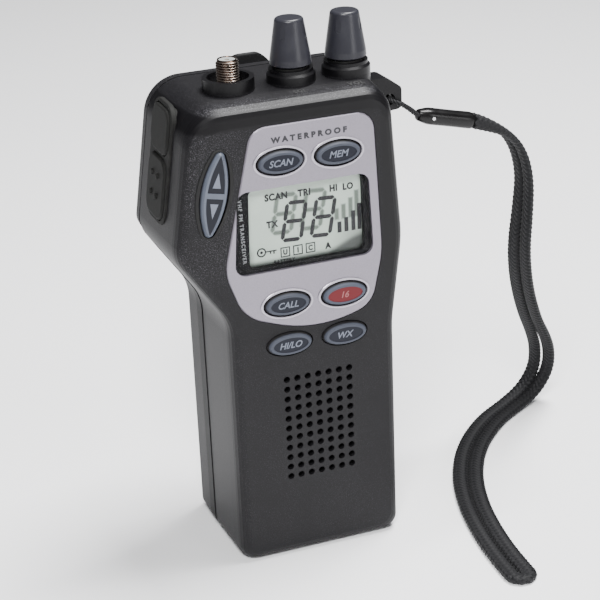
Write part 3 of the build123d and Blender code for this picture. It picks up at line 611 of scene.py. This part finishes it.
def braid_yarn():
    """Black nylon yarn: fine filaments along each strand, a dry sheen on their tops."""
    f = Finish("braid_yarn")
    lie = f.node("ShaderNodeAttribute", {"attribute_name": "yarn"}, output="Vector")
    split = f.node("ShaderNodeSeparateXYZ", None, {0: lie})
    outs = split.out.node.outputs
    along, across = Value(f, outs[0]), Value(f, outs[1])
    filament = (across * 44.0 + along * 3.0).sine()
    fuzz = f.noise(0.35 * MM, 3.0)
    top = f.mix(fuzz, (0.0035, 0.0035, 0.004), (0.013, 0.013, 0.015))
    base = f.mix((filament * 0.5 + 0.5) * 0.4, top, (0.0018, 0.0018, 0.002))
    return f.done(
        base=base,
        rough=0.50 + fuzz * 0.2,
        sheen=0.03,
        specular=0.2,
        normal=f.bump(filament * 0.5 + fuzz, 0.03 * MM, 0.5),
    )


def woven(name, colour, pitch):
    """A fine plain weave."""
    f = Finish(name)
    x, _, z = f.axes()
    turn = 2 * math.pi / pitch
    weave = (x * turn).sine() * (z * turn).sine()
    fuzz = f.noise(0.3 * MM, 3.0)
    base = f.mix(weave * 0.5 + 0.5, tuple(c * 0.4 for c in colour), colour)
    return f.done(base=base, rough=0.8 + fuzz * 0.1, normal=f.bump(weave + fuzz, 0.05 * MM, 0.7))


def board_finish():
    """Green solder mask over copper lines, with tinned pads."""
    f = Finish("board_finish")
    x, _, z = f.axes()
    lines = f.node(
        "ShaderNodeTexBrick",
        None,
        {"Vector": f.stretched(600, 600, 600), "Scale": 1.0, "Mortar Size": 0.06},
        output="Fac",
    )
    pads = f.cells(2.3 * MM)
    cloud = f.noise(6 * MM, 2.0)
    base = f.mix(cloud, (0.015, 0.085, 0.045), (0.02, 0.13, 0.06))
    base = f.mix(lines * 0.5, base, (0.05, 0.20, 0.09))
    base = f.mix(1.0 - pads.over(0.10, 0.16), base, (0.6, 0.6, 0.58))
    return f.done(base=base, rough=0.32 + cloud * 0.1, normal=f.bump(lines, 0.03 * MM, 0.5))


def cell_wrap():
    """Blue shrink sleeve with faint rings and creases."""
    f = Finish("cell_wrap")
    creases = f.noise(3 * MM, 4.0, f.stretched(1, 1, 0.25), warp=0.5)
    base = f.mix(creases, (0.02, 0.06, 0.28), (0.05, 0.12, 0.42))
    return f.done(base=base, rough=0.25 + creases * 0.15, normal=f.bump(creases, 0.1 * MM, 0.4))


CASE = grained_plastic("case_plastic", (0.0055, 0.0052, 0.0062), (0.16, 0.155, 0.17), 0.4)
CHASSIS = grained_plastic(
    "chassis_plastic", (0.006, 0.006, 0.0065), (0.08, 0.08, 0.085), 0.3,
    grain=0.4 * MM, rough=0.5,
)
RUBBER = rubber("pad_rubber", (0.0042, 0.0043, 0.0038))
SEAL = rubber("seal_rubber", (0.006, 0.006, 0.006), 0.3 * MM, 0.5)
PLATE = plate_paint()
KNOB = smooth_plastic(
    "knob_plastic", (0.016, 0.016, 0.021), 0.27, (0.027, 0.027, 0.034), specular=0.36
)
STEEL = metal("bright_steel", (0.62, 0.62, 0.63), 0.25)
TIN = metal("tinned_sheet", (0.66, 0.67, 0.68), 0.34, (1, 1, 0.2))
GOLD = metal("gold_flash", (0.86, 0.62, 0.25), 0.2)
PTFE = smooth_plastic(
    "white_ptfe", (0.27, 0.28, 0.275), 0.42, (0.36, 0.37, 0.36), specular=0.35
)
SPEAKER = rubber("speaker_paper", (0.02, 0.02, 0.02), 0.5 * MM, 0.8)
CLOTH = woven("speaker_cloth", (0.03, 0.03, 0.032), 0.5 * MM)
BOARD = board_finish()
SLEEVE = smooth_plastic(
    "sleeve_vinyl", (0.0035, 0.0033, 0.0035), 0.2, (0.009, 0.0085, 0.009), specular=0.22
)
DARK_INK = ink("dark_ink", (0.006, 0.006, 0.009))
PALE_INK = ink("pale_ink", (0.12, 0.135, 0.175))
CASE_INK = ink("case_ink", (0.0025, 0.0025, 0.003))
MASK_INK = ink("mask_ink", (0.20, 0.21, 0.22))
SEGMENT = ink("segment_ink", (0.004, 0.0035, 0.006), 0.55)
# painted shadows of the display's figures on the reflector, in three tones from rim to core
SHADOWS = [
    ink("segment_shadow_rim", (0.31, 0.37, 0.325)),
    ink("segment_shadow_edge", (0.205, 0.25, 0.215)),
    ink("segment_shadow_core", (0.115, 0.145, 0.12)),
]
# the last tone of each key is painted shade on its sides and deep in its recess
BLUE = dict(label=(0.0035, 0.0048, 0.011), rim=(0.042, 0.047, 0.062), wall_shade=(0.009, 0.0085, 0.009))
RED = dict(label=(0.105, 0.008, 0.011), rim=(0.050, 0.058, 0.080), wall_shade=(0.010, 0.0095, 0.010))

FINISH_OF = {
    "front_housing": case_front(), "rear_housing": CASE, "battery_case": CASE,
    "case_gasket": SEAL, "rocker_gasket": SEAL, "squelch_seal": SEAL, "volume_seal": SEAL,
    "keypad_mat": SEAL, "side_bezel": RUBBER, "ptt_button": RUBBER, "side_button": RUBBER,
    "case_screws": STEEL, "board_screws": STEEL, "clip_pin": STEEL, "clip_spring": STEEL,
    "squelch_shaft": STEEL, "volume_shaft": STEEL, "strap_rivet": STEEL, "side_switches": TIN,
    "squelch_control": TIN, "volume_control": TIN, "antenna_washer": TIN, "rf_shield": TIN,
    "microphone": TIN, "battery_terminals": GOLD, "battery_contacts": GOLD,
    "charge_contacts": GOLD, "antenna_contact": GOLD, "antenna_insulator": PTFE,
    "lcd_backlight": PTFE, "face_plate": PLATE, "display_lens": window(),
    "display_mask": mask_print(), "lcd_panel": lcd_back(), "side_board": BOARD,
    "main_board": BOARD, "speaker_frame": SPEAKER, "speaker_cone": SPEAKER,
    "grille_cloth": CLOTH, "chassis_plate": CHASSIS, "clip_base": CHASSIS,
    "battery_lid": CHASSIS, "belt_clip": CHASSIS, "battery_cells": cell_wrap(),
    "squelch_knob": KNOB, "volume_knob": KNOB, "channel_rocker": rocker_finish(),
}
for node in KEYS:
    tones = RED if node == "channel_16_key" else BLUE
    FINISH_OF[node] = key_finish(f"{node}_finish", node, **tones)
for node, material in FINISH_OF.items():
    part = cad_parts[node]
    part.data.materials.clear()
    part.data.materials.append(material)

# ---- wrist strap ---------------------------------------------------------------------
# A flat tubular braid, doubled: it leaves the sleeve, folds back at the far end and
# returns beside itself. Twelve strands go round the tube, six each way.
STRANDS_EACH_WAY = 6
BRAID_PITCH = 10.0 * MM
YARN_WIDE, YARN_THICK = 1.30 * MM, 0.42 * MM
YARN_LIFT = 0.14 * MM  # how far a strand rises and dips as it crosses the others
CORE_LIFT, CORE_SIDES = -0.22 * MM, 10
FOLD_STEPS = 14
# distances along the band, from the sleeve
BUNCHED_TO = 16 * MM  # where the two legs have opened to their full width
SLIT_OPENS, SLIT_SHUTS = (92 * MM, 110 * MM), (118 * MM, 134 * MM)  # light shows between them
SETTLES = (125 * MM, 165 * MM)  # where they come to lie flat on the ground
WIDE_TOWARDS = [
    (0.00, (0.10, -1.00, 0.0)),
    (0.12, (0.16, -0.98, -0.06)),
    (0.25, (0.45, -0.88, -0.10)),
    (0.38, (0.61, -0.79, -0.10)),
    (0.62, (0.61, -0.79, 0.0)),
    (0.75, (0.82, -0.57, 0.0)),
    (1.00, (1.00, -0.05, 0.0)),
]


def towards(share):
    """Which way the band's width points, at a share of its length."""
    for (a, first), (b, second) in zip(WIDE_TOWARDS, WIDE_TOWARDS[1:]):
        if share <= b:
            return Vector(first).lerp(Vector(second), (share - a) / (b - a))
    return Vector(WIDE_TOWARDS[-1][1])


def band_frames(line):
    """Each station of the doubled band: middle, width and thickness directions, half
    width, half thickness, along the first leg, round the fold and back."""
    marks = distances(line)
    length = marks[-1]
    fold = BAND_WIDTH / 2  # the band turns back this far before the line's end
    legs = []
    for i, (at, s) in enumerate(zip(line, marks)):
        if s > length - fold:
            break
        ahead = (line[min(i + 1, len(line) - 1)] - line[max(i - 1, 0)]).normalized()
        wide = towards(s / length)
        wide = (wide - ahead * wide.dot(ahead)).normalized()
        thick = ahead.cross(wide)
        open_up = ease(0, BUNCHED_TO, s)
        lies = ease(*SETTLES, s)
        slit = ease(*SLIT_OPENS, s) * (1 - ease(*SLIT_SHUTS, s))
        apart = (1.20 + 0.90 * open_up + 0.42 * slit + 0.30 * lies) * MM
        half_wide = (1.25 + 0.75 * open_up - 0.10 * slit + 0.22 * lies) * MM
        half_thick = (1.90 - 1.22 * open_up) * MM
        legs.append((at, ahead, wide, thick, apart, half_wide, half_thick))
    frames = [(c - w * a, w, t, hw, ht) for c, _, w, t, a, hw, ht in legs]
    centre, ahead, wide, thick, apart, half_wide, half_thick = legs[-1]
    for k in range(1, FOLD_STEPS):
        turn = math.pi * k / FOLD_STEPS
        out = wide * -math.cos(turn) + ahead * math.sin(turn)
        bulge = 1.0 - 0.12 * math.sin(turn)
        frames.append((centre + out * apart, -out, thick, half_wide * bulge, half_thick))
    frames += [(c + w * a, -w, t, hw, ht) for c, _, w, t, a, hw, ht in reversed(legs)]
    return frames


def ring_point(station, angle, lift):
    """A point on the band's oval section, lift outside it."""
    centre, wide, thick, half_wide, half_thick = station
    return (
        centre
        + wide * (half_wide + lift) * math.cos(angle)
        + thick * (half_thick + lift) * math.sin(angle)
    )


def braid(frames):
    """The strands of the tube as closed ribbons, with a plain core inside."""
    parts, lies = [], []
    marks = distances([station[0] for station in frames])
    spin = 2 * math.pi / BRAID_PITCH
    for way in (1, -1):
        for strand in range(STRANDS_EACH_WAY):
            start = 2 * math.pi * strand / STRANDS_EACH_WAY
            line = []
            for station, s in zip(frames, marks):
                lift = way * math.cos(STRANDS_EACH_WAY * spin * s) * YARN_LIFT
                angle = start + way * spin * s
                above = ring_point(station, angle, lift + MM)
                line.append((ring_point(station, angle, lift), above))
            rings = []
            for i, (at, above) in enumerate(line):
                ahead = (line[min(i + 1, len(line) - 1)][0] - line[max(i - 1, 0)][0]).normalized()
                up = (above - at).normalized()
                side = ahead.cross(up).normalized()
                rings.append([
                    at + side * YARN_WIDE / 2,
                    at + up * YARN_THICK / 2,
                    at - side * YARN_WIDE / 2,
                    at - up * YARN_THICK / 2,
                ])
                for across in (1.0, 0.5, 0.0, 0.5):
                    lies.append((marks[i] * 1000 + strand, across, 0.0))
            parts.append(tube(rings))
    core = [
        [ring_point(station, 2 * math.pi * k / CORE_SIDES, CORE_LIFT) for k in range(CORE_SIDES)]
        for station in frames[::4]
    ]
    lies += [(0.0, 0.0, 0.0)] * (len(core) * CORE_SIDES)
    parts.append(tube(core))
    points, faces = joined(parts)
    mesh = outward(mesh_of("strap_band", points, faces))
    yarn = mesh.attributes.new("yarn", "FLOAT_VECTOR", "POINT")
    yarn.data.foreach_set("vector", [v for lie in lies for v in lie])
    return mesh


def twisted_cord(name, line, diameter, plies=3, lay=3.2 * MM, sides=8):
    """Plies laid round each other along a line."""
    parts = []
    ply_r = diameter * 0.30
    off_line = diameter / 2 - ply_r * 0.75
    marks = distances(line)
    up = Vector((0, 0, 1))
    bases = []
    for i in range(len(line)):
        ahead = (line[min(i + 1, len(line) - 1)] - line[max(i - 1, 0)]).normalized()
        up = (up - ahead * up.dot(ahead)).normalized()
        bases.append((ahead, up, ahead.cross(up)))
    for ply in range(plies):
        rings = []
        for at, s, (ahead, up, side) in zip(line, marks, bases):
            turn = 2 * math.pi * (ply / plies + s / lay)
            middle_at = at + (up * math.cos(turn) + side * math.sin(turn)) * off_line
            rings.append([
                middle_at + (up * math.cos(a) + side * math.sin(a)) * ply_r
                for a in (2 * math.pi * k / sides for k in range(sides))
            ])
        parts.append(tube(rings))
    points, faces = joined(parts)
    mesh = outward(mesh_of(name, points, faces))
    yarn = mesh.attributes.new("yarn", "FLOAT_VECTOR", "POINT")
    lies = []
    for ply in range(plies):
        for s in marks:
            lies += [(s * 1000, k / sides, 0.0) for k in range(sides)]
    yarn.data.foreach_set("vector", [v for lie in lies for v in lie])
    return mesh


SLEEVE_HALF_WIDE, SLEEVE_HALF_HIGH = 2.6 * MM, 2.4 * MM
SLEEVE_ROUND = 0.8  # 1 is an ellipse, less is squarer
SLEEVE_SIDES = 32


def sleeve_mesh():
    """The moulded sleeve: round-shouldered, narrower at the thin cord's end."""
    start = Vector(LOOP_ROUTE[0]).lerp(Vector(LOOP_ROUTE[-1]), 0.5)
    end = Vector(BAND_ROUTE[0])
    ahead = (end - start).normalized()
    side = Vector((0, 1, 0))
    up = ahead.cross(side)
    length = (end - start).length
    profile = [
        (0.0, 0.30), (0.0, 0.52), (0.15, 0.62), (0.5, 0.70), (1.4, 0.80), (2.6, 0.93), (3.6, 0.99),
        (4.6, 1.0), (8.0, 0.985), (12.0, 0.985), (15.2, 1.0), (16.6, 1.0), (17.2, 0.975),
        (17.6, 0.90), (17.75, 0.80), (17.75, 0.72), (16.9, 0.66),
    ]
    rings = []
    for at, scale in profile:
        ring = []
        for k in range(SLEEVE_SIDES):
            a = 2 * math.pi * k / SLEEVE_SIDES
            c, s = math.cos(a), math.sin(a)
            wide = math.copysign(abs(c) ** SLEEVE_ROUND, c) * SLEEVE_HALF_WIDE * scale
            high = math.copysign(abs(s) ** SLEEVE_ROUND, s) * SLEEVE_HALF_HIGH * scale
            ring.append(start + ahead * min(at * MM, length) + side * wide + up * high)
        rings.append(ring)
    return outward(mesh_of("strap_sleeve_moulded", *tube(rings)))


YARN = braid_yarn()
band_line = smooth_line("band_line", BAND_ROUTE, 40)
band = new_piece("strap_band", braid(band_frames(band_line)), YARN, "housing")
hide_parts("wrist_strap")
sleeve = new_piece("strap_sleeve_moulded", sleeve_mesh(), SLEEVE, "housing", 50.0)
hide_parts("strap_sleeve")
loop_line = smooth_line("loop_line", LOOP_ROUTE, 24)
loop_mesh = twisted_cord("strap_loop", loop_line, CORD_D)
loop = new_piece("strap_loop", loop_mesh, YARN, "housing")
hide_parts("strap_cord")

# ---- lettering and display -----------------------------------------------------------


FONT_DEPTH = 0.01  # half the depth that the font is drawn with, before it is scaled


def lettering(
    name, text, height, centre, y, material, body,
    slant=0.0, squeeze=1.0, weight=0.0, spread=1.0, turned=0.0, thick=0.03 * MM, lean_back=0.0,
):
    """Words as thin raised print centred on (x, z). It faces the front, or leans back."""
    font = bpy.data.curves.new(name, "FONT")
    font.body = text
    font.size = 1.0
    font.shear = slant
    font.offset = weight
    font.space_character = spread
    font.resolution_u = 4
    font.extrude = FONT_DEPTH
    holder = bpy.data.objects.new(name, font)
    bpy.context.scene.collection.objects.link(holder)
    mesh = bpy.data.meshes.new_from_object(holder)
    bpy.data.objects.remove(holder)
    bpy.data.curves.remove(font)
    xs = [v.co.x for v in mesh.vertices]
    ys = [v.co.y for v in mesh.vertices]
    scale = height / (max(ys) - min(ys))
    mid_x, mid_y = (max(xs) + min(xs)) / 2, (max(ys) + min(ys)) / 2
    cos_t, sin_t = math.cos(turned), math.sin(turned)
    for v in mesh.vertices:
        x, z = (v.co.x - mid_x) * scale * squeeze, (v.co.y - mid_y) * scale
        deep = -v.co.z / FONT_DEPTH * thick / 2
        v.co = (x * cos_t - z * sin_t, deep, x * sin_t + z * cos_t)
    mesh.transform(Matrix.Rotation(-lean_back, 4, "X"))
    mesh.transform(Matrix.Translation((centre[0], y, centre[1])))
    return new_piece(name, mesh, material, body, 0)


LEGENDS = {
    "scan_key": "SCAN", "memory_key": "MEM", "call_key": "CALL",
    "channel_16_key": "16", "power_level_key": "HI/LO", "weather_key": "WX",
}
for node, word in LEGENDS.items():
    centre = middle(node)
    well_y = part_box(node)[0].y + WELL
    tone = ink("red_key_ink", (0.24, 0.07, 0.07)) if node == "channel_16_key" else PALE_INK
    lettering(
        f"{node}_legend", word, 1.95 * MM, (centre.x, centre.z), well_y - 0.01 * MM, tone,
        f"{node}_body", slant=0.28, squeeze=0.98, weight=0.02,
    )

PLATE_WORD_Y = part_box("face_plate")[0].y + 0.34 * MM
MASK_WORDS_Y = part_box("display_lens")[1].y - 0.03 * MM
lettering(
    "plate_word", "WATERPROOF", 1.75 * MM, (0.35 * MM, 127.2 * MM), PLATE_WORD_Y,
    DARK_INK, "housing", squeeze=1.09, weight=0.062, spread=1.6,
)
lettering(
    "mask_words", "VHF FM TRANSCEIVER", 1.1 * MM, (-19.55 * MM, 102.4 * MM), MASK_WORDS_Y,
    MASK_INK, "housing", turned=math.radians(-88), weight=0.02, spread=1.3, thick=0.02 * MM,
)

TOP_SLOPE = math.atan2(0.6, 3.6)  # the case's top falls 0.6 mm in 3.6 mm towards the front
CASE_WORD_Y, CASE_WORD_Z = -11.2 * MM, 137.58 * MM
for word, x in (("SQL", 0.6), ("VOL", 16.7)):
    lettering(
        f"case_word_{word.lower()}", word, 2.0 * MM, (x * MM, CASE_WORD_Z), CASE_WORD_Y,
        CASE_INK, "housing", squeeze=0.85, weight=0.04, spread=1.2,
        lean_back=math.pi / 2 - TOP_SLOPE, thick=0.12 * MM,
    )

SEGMENT_Y = LCD_FACE_Y - 0.08 * MM
SHADOW_Y = LCD_FACE_Y - 0.03 * MM
SHADOW_BY = (-2.8 * MM, 2.6 * MM)
SIGNAL_SHADOW_BY = (-0.7 * MM, 3.9 * MM)
SHADOW_GROWS = (0.20 * MM, 0.02 * MM, -0.16 * MM)
SHADOW_STEP, SHADOW_THICK = 0.008 * MM, 0.006 * MM
DIGIT_H, DIGIT_W, BAR_W = 10.6 * MM, 5.4 * MM, 1.14 * MM
BAR_GAP = 0.16 * MM
DIGIT_LEAN = math.tan(math.radians(10.7))
DIGIT_DROP = 0.06  # the figures' level bars fall by this share to the right
DIGITS_AT = [(-4.05 * MM, 102.6 * MM), (4.45 * MM, 102.4 * MM)]


def digit(centre, shift=(0.0, 0.0), grow=0.0):
    """The seven bars of one slanting figure, as outlines in (x, z)."""
    half_w, half_h, w = DIGIT_W / 2, DIGIT_H / 2, BAR_W / 2 + grow
    gap = BAR_GAP - grow
    a, b = -half_w + gap, half_w - gap
    bars = []
    for z in (half_h, 0.0, -half_h):
        bars.append([
            (a, z), (a + w, z + w), (b - w, z + w), (b, z), (b - w, z - w), (a + w, z - w),
        ])
    for x in (-half_w, half_w):
        for low, high in ((gap, half_h - gap), (-half_h + gap, -gap)):
            bars.append([
                (x, low), (x + w, low + w), (x + w, high - w),
                (x, high), (x - w, high - w), (x - w, low + w),
            ])
    mid_x, mid_z = centre[0] + shift[0], centre[1] + shift[1]
    return [
        [(mid_x + x + z * DIGIT_LEAN, mid_z + z - x * DIGIT_DROP) for x, z in bar]
        for bar in bars
    ]


def box_outline(x, z, wide, high):
    """The corners of an upright rectangle about (x, z)."""
    left, right, foot, top = x - wide / 2, x + wide / 2, z - high / 2, z + high / 2
    return [(left, foot), (right, foot), (right, top), (left, top)]


def flat_marks(name, outlines, y, material, thick=0.03 * MM):
    """Several flat shapes on the display as one piece."""
    parts = [prism(outline, thick, y) for outline in outlines]
    mesh = outward(mesh_of(name, *joined(parts)))
    return new_piece(name, mesh, material, "housing", 0)


SIGNAL_BARS = [(9.15, 3.2), (11.2, 4.2), (13.3, 5.8), (15.1, 7.7)]
SIGNAL_FOOT, SIGNAL_WIDE = 96.9 * MM, 1.2 * MM
signal = [
    box_outline(x * MM, SIGNAL_FOOT + tall * MM / 2, SIGNAL_WIDE, tall * MM)
    for x, tall in SIGNAL_BARS
]
CELL_FRAME = ((0, 1.3, 2.8, 0.3), (0, -1.3, 2.8, 0.3), (-1.25, 0, 0.3, 2.3), (1.25, 0, 0.3, 2.3))
CELL_XS, CELL_Z = (-7.0, -3.3, 0.4), 94.0
cell_frames = []
for x in CELL_XS:
    for dx, dz, wide, high in CELL_FRAME:
        at = ((x + dx) * MM, (CELL_Z + dz) * MM)
        cell_frames.append(box_outline(*at, wide * MM, high * MM))
# the key-lock mark: a shank with two teeth, and a ring with a dot in it
key_icon = [
    box_outline(-11.1 * MM, 95.0 * MM, 3.2 * MM, 0.35 * MM),
    box_outline(-10.3 * MM, 94.5 * MM, 0.4 * MM, 0.8 * MM),
    box_outline(-11.3 * MM, 94.55 * MM, 0.4 * MM, 0.6 * MM),
]
BOW_X, BOW_Z = -13.9 * MM, 95.0 * MM
BOW_OUTER, BOW_INNER, BOW_DOT = 1.35, 0.95, 0.42  # radii in mm
BOW_SIDES = 20
bow_turns = [2 * math.pi * k / BOW_SIDES for k in range(BOW_SIDES)]
bow = [(math.cos(turn), math.sin(turn)) for turn in bow_turns]
for k in range(BOW_SIDES):
    this, after = bow[k], bow[(k + 1) % BOW_SIDES]
    corners = ((this, BOW_OUTER), (after, BOW_OUTER), (after, BOW_INNER), (this, BOW_INNER))
    key_icon.append([(BOW_X + c * r * MM, BOW_Z + s * r * MM) for (c, s), r in corners])
key_icon.append([(BOW_X + c * BOW_DOT * MM, BOW_Z + s * BOW_DOT * MM) for c, s in bow])
digits = [bar for at in DIGITS_AT for bar in digit(at)]
flat_marks("lcd_figures", digits, SEGMENT_Y, SEGMENT)
flat_marks("lcd_signal_bars", signal, SEGMENT_Y, SEGMENT)
flat_marks("lcd_small_marks", cell_frames + key_icon, SEGMENT_Y, SEGMENT)
for layer, (grow, tone) in enumerate(zip(SHADOW_GROWS, SHADOWS)):
    y = SHADOW_Y - layer * SHADOW_STEP
    ghosts = [bar for at in DIGITS_AT for bar in digit(at, SHADOW_BY, grow)]
    for x, tall in SIGNAL_BARS:
        middle_x = x * MM + SIGNAL_SHADOW_BY[0]
        middle_z = SIGNAL_FOOT + (tall / 2) * MM + SIGNAL_SHADOW_BY[1]
        wide, high = SIGNAL_WIDE + 2 * grow, tall * MM + 2 * grow
        ghosts.append(box_outline(middle_x, middle_z, wide, high))
    flat_marks(f"lcd_shadow_{layer}", ghosts, y, tone, SHADOW_THICK)
LCD_WORDS = [
    ("scan", "SCAN", -9.0, 110.5, 2.1),
    ("tri", "TRI", -0.9, 110.35, 2.05),
    ("high", "HI", 7.7, 110.2, 2.0),
    ("low", "LO", 12.0, 110.05, 2.0),
    ("transmit", "TX", -10.4, 102.7, 2.0),
    ("mode", "A", 5.6, 93.7, 1.9),
    ("cell_1", "U", -7.0, 94.0, 1.6),
    ("cell_2", "I", -3.3, 94.0, 1.6),
    ("cell_3", "C", 0.4, 94.0, 1.6),
    ("charge", "BATTERY", -7.3, 91.5, 1.2),
]
for label, word, x, z, height in LCD_WORDS:
    lettering(
        f"lcd_{label}", word, height * MM, (x * MM, z * MM), SEGMENT_Y, SEGMENT, "housing",
        squeeze=0.9, weight=0.045, spread=1.1,
    )

# ---- rocker arrows -------------------------------------------------------------------


def rocker_place(across, along):
    """A point of the rocker's face in (x, z), from its own leaning axes."""
    lean_c, lean_s = math.cos(ROCKER_LEAN), math.sin(ROCKER_LEAN)
    return (
        ROCKER.x + across * lean_c + along * lean_s,
        ROCKER.z - across * lean_s + along * lean_c,
    )


ROCKER_WELL_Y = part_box("channel_rocker")[0].y + WELL
ARROW_CORNERS = ((-1.15, 2.2), (1.15, 2.2), (0.0, 6.4))
for arrow, way in (("up", 1), ("down", -1)):
    corners = [rocker_place(a * MM, way * b * MM) for a, b in ARROW_CORNERS]
    arrow_mesh = mesh_of(f"rocker_{arrow}", *prism(corners, 0.10 * MM, ROCKER_WELL_Y - 0.05 * MM))
    new_piece(f"rocker_{arrow}", outward(arrow_mesh), PALE_INK, "rocker", 0)

# ---- threaded antenna post -----------------------------------------------------------
THREAD_PITCH = 25.4 * MM / 36
THREAD_FOOT = 138.1 * MM
THREAD_ROOT_R, THREAD_RIDGE = 2.72 * MM, 0.44 * MM
COLLAR_TOP, BORE_FLOOR = 137.6, 132.0  # heights in mm


def thread_tree():
    """A helical ridge: a four-sided section swept along a spiral."""
    tree = bpy.data.node_groups.new("screw_thread", "GeometryNodeTree")
    tree.interface.new_socket("Geometry", in_out="OUTPUT", socket_type="NodeSocketGeometry")
    for label in ("Turns", "Root radius", "Height", "Ridge"):
        tree.interface.new_socket(label, in_out="INPUT", socket_type="NodeSocketFloat")
    tree.interface.new_socket("Finish", in_out="INPUT", socket_type="NodeSocketMaterial")
    into, out = tree.nodes.new("NodeGroupInput"), tree.nodes.new("NodeGroupOutput")
    spiral = tree.nodes.new("GeometryNodeCurveSpiral")
    spiral.inputs["Resolution"].default_value = 44
    link = tree.links.new
    link(into.outputs["Turns"], spiral.inputs["Rotations"])
    link(into.outputs["Root radius"], spiral.inputs["Start Radius"])
    link(into.outputs["Root radius"], spiral.inputs["End Radius"])
    link(into.outputs["Height"], spiral.inputs["Height"])
    upright = tree.nodes.new("GeometryNodeSetCurveNormal")
    upright.mode = "Z_UP"
    link(spiral.outputs["Curve"], upright.inputs["Curve"])
    section = tree.nodes.new("GeometryNodeCurvePrimitiveCircle")
    section.inputs["Resolution"].default_value = 4
    link(into.outputs["Ridge"], section.inputs["Radius"])
    ridge = tree.nodes.new("GeometryNodeCurveToMesh")
    ridge.inputs["Fill Caps"].default_value = True
    link(upright.outputs["Curve"], ridge.inputs["Curve"])
    link(section.outputs["Curve"], ridge.inputs["Profile Curve"])
    real = tree.nodes.new("GeometryNodeRealizeInstances")
    link(ridge.outputs["Mesh"], real.inputs["Geometry"])
    paint = tree.nodes.new("GeometryNodeSetMaterial")
    link(real.outputs["Geometry"], paint.inputs["Geometry"])
    link(into.outputs["Finish"], paint.inputs["Material"])
    link(paint.outputs["Geometry"], out.inputs["Geometry"])
    return tree


def baked(name, tree, values):
    """The plain mesh that a Geometry Nodes tree makes with these named inputs."""
    holder = bpy.data.objects.new(name, bpy.data.meshes.new(name))
    bpy.context.scene.collection.objects.link(holder)
    modifier = holder.modifiers.new(name, "NODES")
    modifier.node_group = tree
    for item in tree.interface.items_tree:
        if item.in_out == "INPUT" and item.name in values:
            modifier[item.identifier] = values[item.name]
    view = bpy.context.evaluated_depsgraph_get()
    mesh = bpy.data.meshes.new_from_object(holder.evaluated_get(view))
    holder.modifiers.remove(modifier)
    bpy.data.objects.remove(holder)
    return mesh


def turned(profile, sides=64):
    """Points and faces of a profile of (radius, z) turned round the post's axis."""
    rings = []
    for radius, z in profile:
        rings.append([
            Vector((POST.x + radius * math.cos(a), POST.y + radius * math.sin(a), z))
            for a in (2 * math.pi * k / sides for k in range(sides))
        ])
    return tube(rings, closed=True)


def post_mesh():
    """The post: a threaded barrel with its bore, on a six-sided foot."""
    top = POST_HIGH.z / MM
    thread_foot = THREAD_FOOT / MM
    foot, foot_top = POST_LOW.z / MM, POST_LOW.z / MM + 3.0
    turns = (POST_HIGH.z - 0.5 * MM - THREAD_FOOT) / THREAD_PITCH
    helix = baked("post_thread", thread_tree(), {
        "Turns": turns,
        "Root radius": THREAD_ROOT_R,
        "Height": turns * THREAD_PITCH,
        "Ridge": THREAD_RIDGE,
        "Finish": POST_METAL,
    })
    helix.transform(Matrix.Translation((POST.x, POST.y, THREAD_FOOT + 0.05 * MM)))
    barrel = [
        (3.6, foot_top), (3.6, COLLAR_TOP), (2.9, COLLAR_TOP), (2.9, thread_foot),
        (2.76, thread_foot + 0.1), (2.76, top - 0.35), (2.66, top), (2.38, top),
        (2.3, top - 0.1), (2.3, BORE_FLOOR), (1.2, BORE_FLOOR), (1.2, foot_top),
    ]
    core = turned([(radius * MM, z * MM) for radius, z in barrel])
    nut = [
        [
            Vector((POST.x + r * MM * math.cos(a), POST.y + r * MM * math.sin(a), z * MM))
            for a in (math.pi * k / 3 for k in range(6))
        ]
        for r, z in ((4.3, foot), (4.6, foot + 0.3), (4.6, foot + 2.7), (4.3, foot_top))
    ]
    mesh = outward(mesh_of("post_body", *joined([core, tube(nut)])))
    work = bmesh.new()
    work.from_mesh(mesh)
    work.from_mesh(helix)
    bmesh.ops.recalc_face_normals(work, faces=work.faces)
    work.to_mesh(mesh)
    work.free()
    return mesh


POST_METAL = post_metal()
post = new_piece("antenna_post_threaded", post_mesh(), POST_METAL, "housing", 40.0)
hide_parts("antenna_connector")

# ---- floor and light -----------------------------------------------------------------


FLOOR_HALF = 4.0
WORLD_STRENGTH = 0.13


def make_floor():
    corners = [(x * FLOOR_HALF, y * FLOOR_HALF, 0) for x, y in ((-1, -1), (1, -1), (1, 1), (-1, 1))]
    mesh = mesh_of("floor", corners, [(0, 1, 2, 3)])
    floor = bpy.data.objects.new("floor", mesh)
    bpy.context.scene.collection.objects.link(floor)
    f = Finish("floor_paper")
    cloud = f.noise(0.4, 2.0)
    base = f.mix(cloud, (0.86, 0.86, 0.87), (0.90, 0.90, 0.91))
    mesh.materials.append(f.done(base=base, rough=0.9))
    floor.location.z = cad_low.z - 0.02 * MM


def make_light(name, place, aim, size, power):
    data = bpy.data.lights.new(name, "AREA")
    data.size, data.energy = size, power
    light = bpy.data.objects.new(name, data)
    bpy.context.scene.collection.objects.link(light)
    light.location = place
    light.rotation_euler = (Vector(aim) - Vector(place)).to_track_quat("-Z", "Y").to_euler()


def make_world():
    world = bpy.data.worlds.new("studio")
    bpy.context.scene.world = world
    world.use_nodes = True
    back = world.node_tree.nodes["Background"]
    back.inputs["Color"].default_value = (0.93, 0.95, 1.0, 1.0)
    back.inputs["Strength"].default_value = WORLD_STRENGTH


make_floor()
make_world()
CENTRE = (0.0, 0.0, 0.08)
make_light("key", (-0.30, -0.65, 0.85), CENTRE, 0.30, 17.0)
make_light("top", (0.28, 0.05, 1.0), CENTRE, 0.40, 26.0)
make_light("fill", (0.45, -0.85, 0.30), CENTRE, 0.30, 2.5)
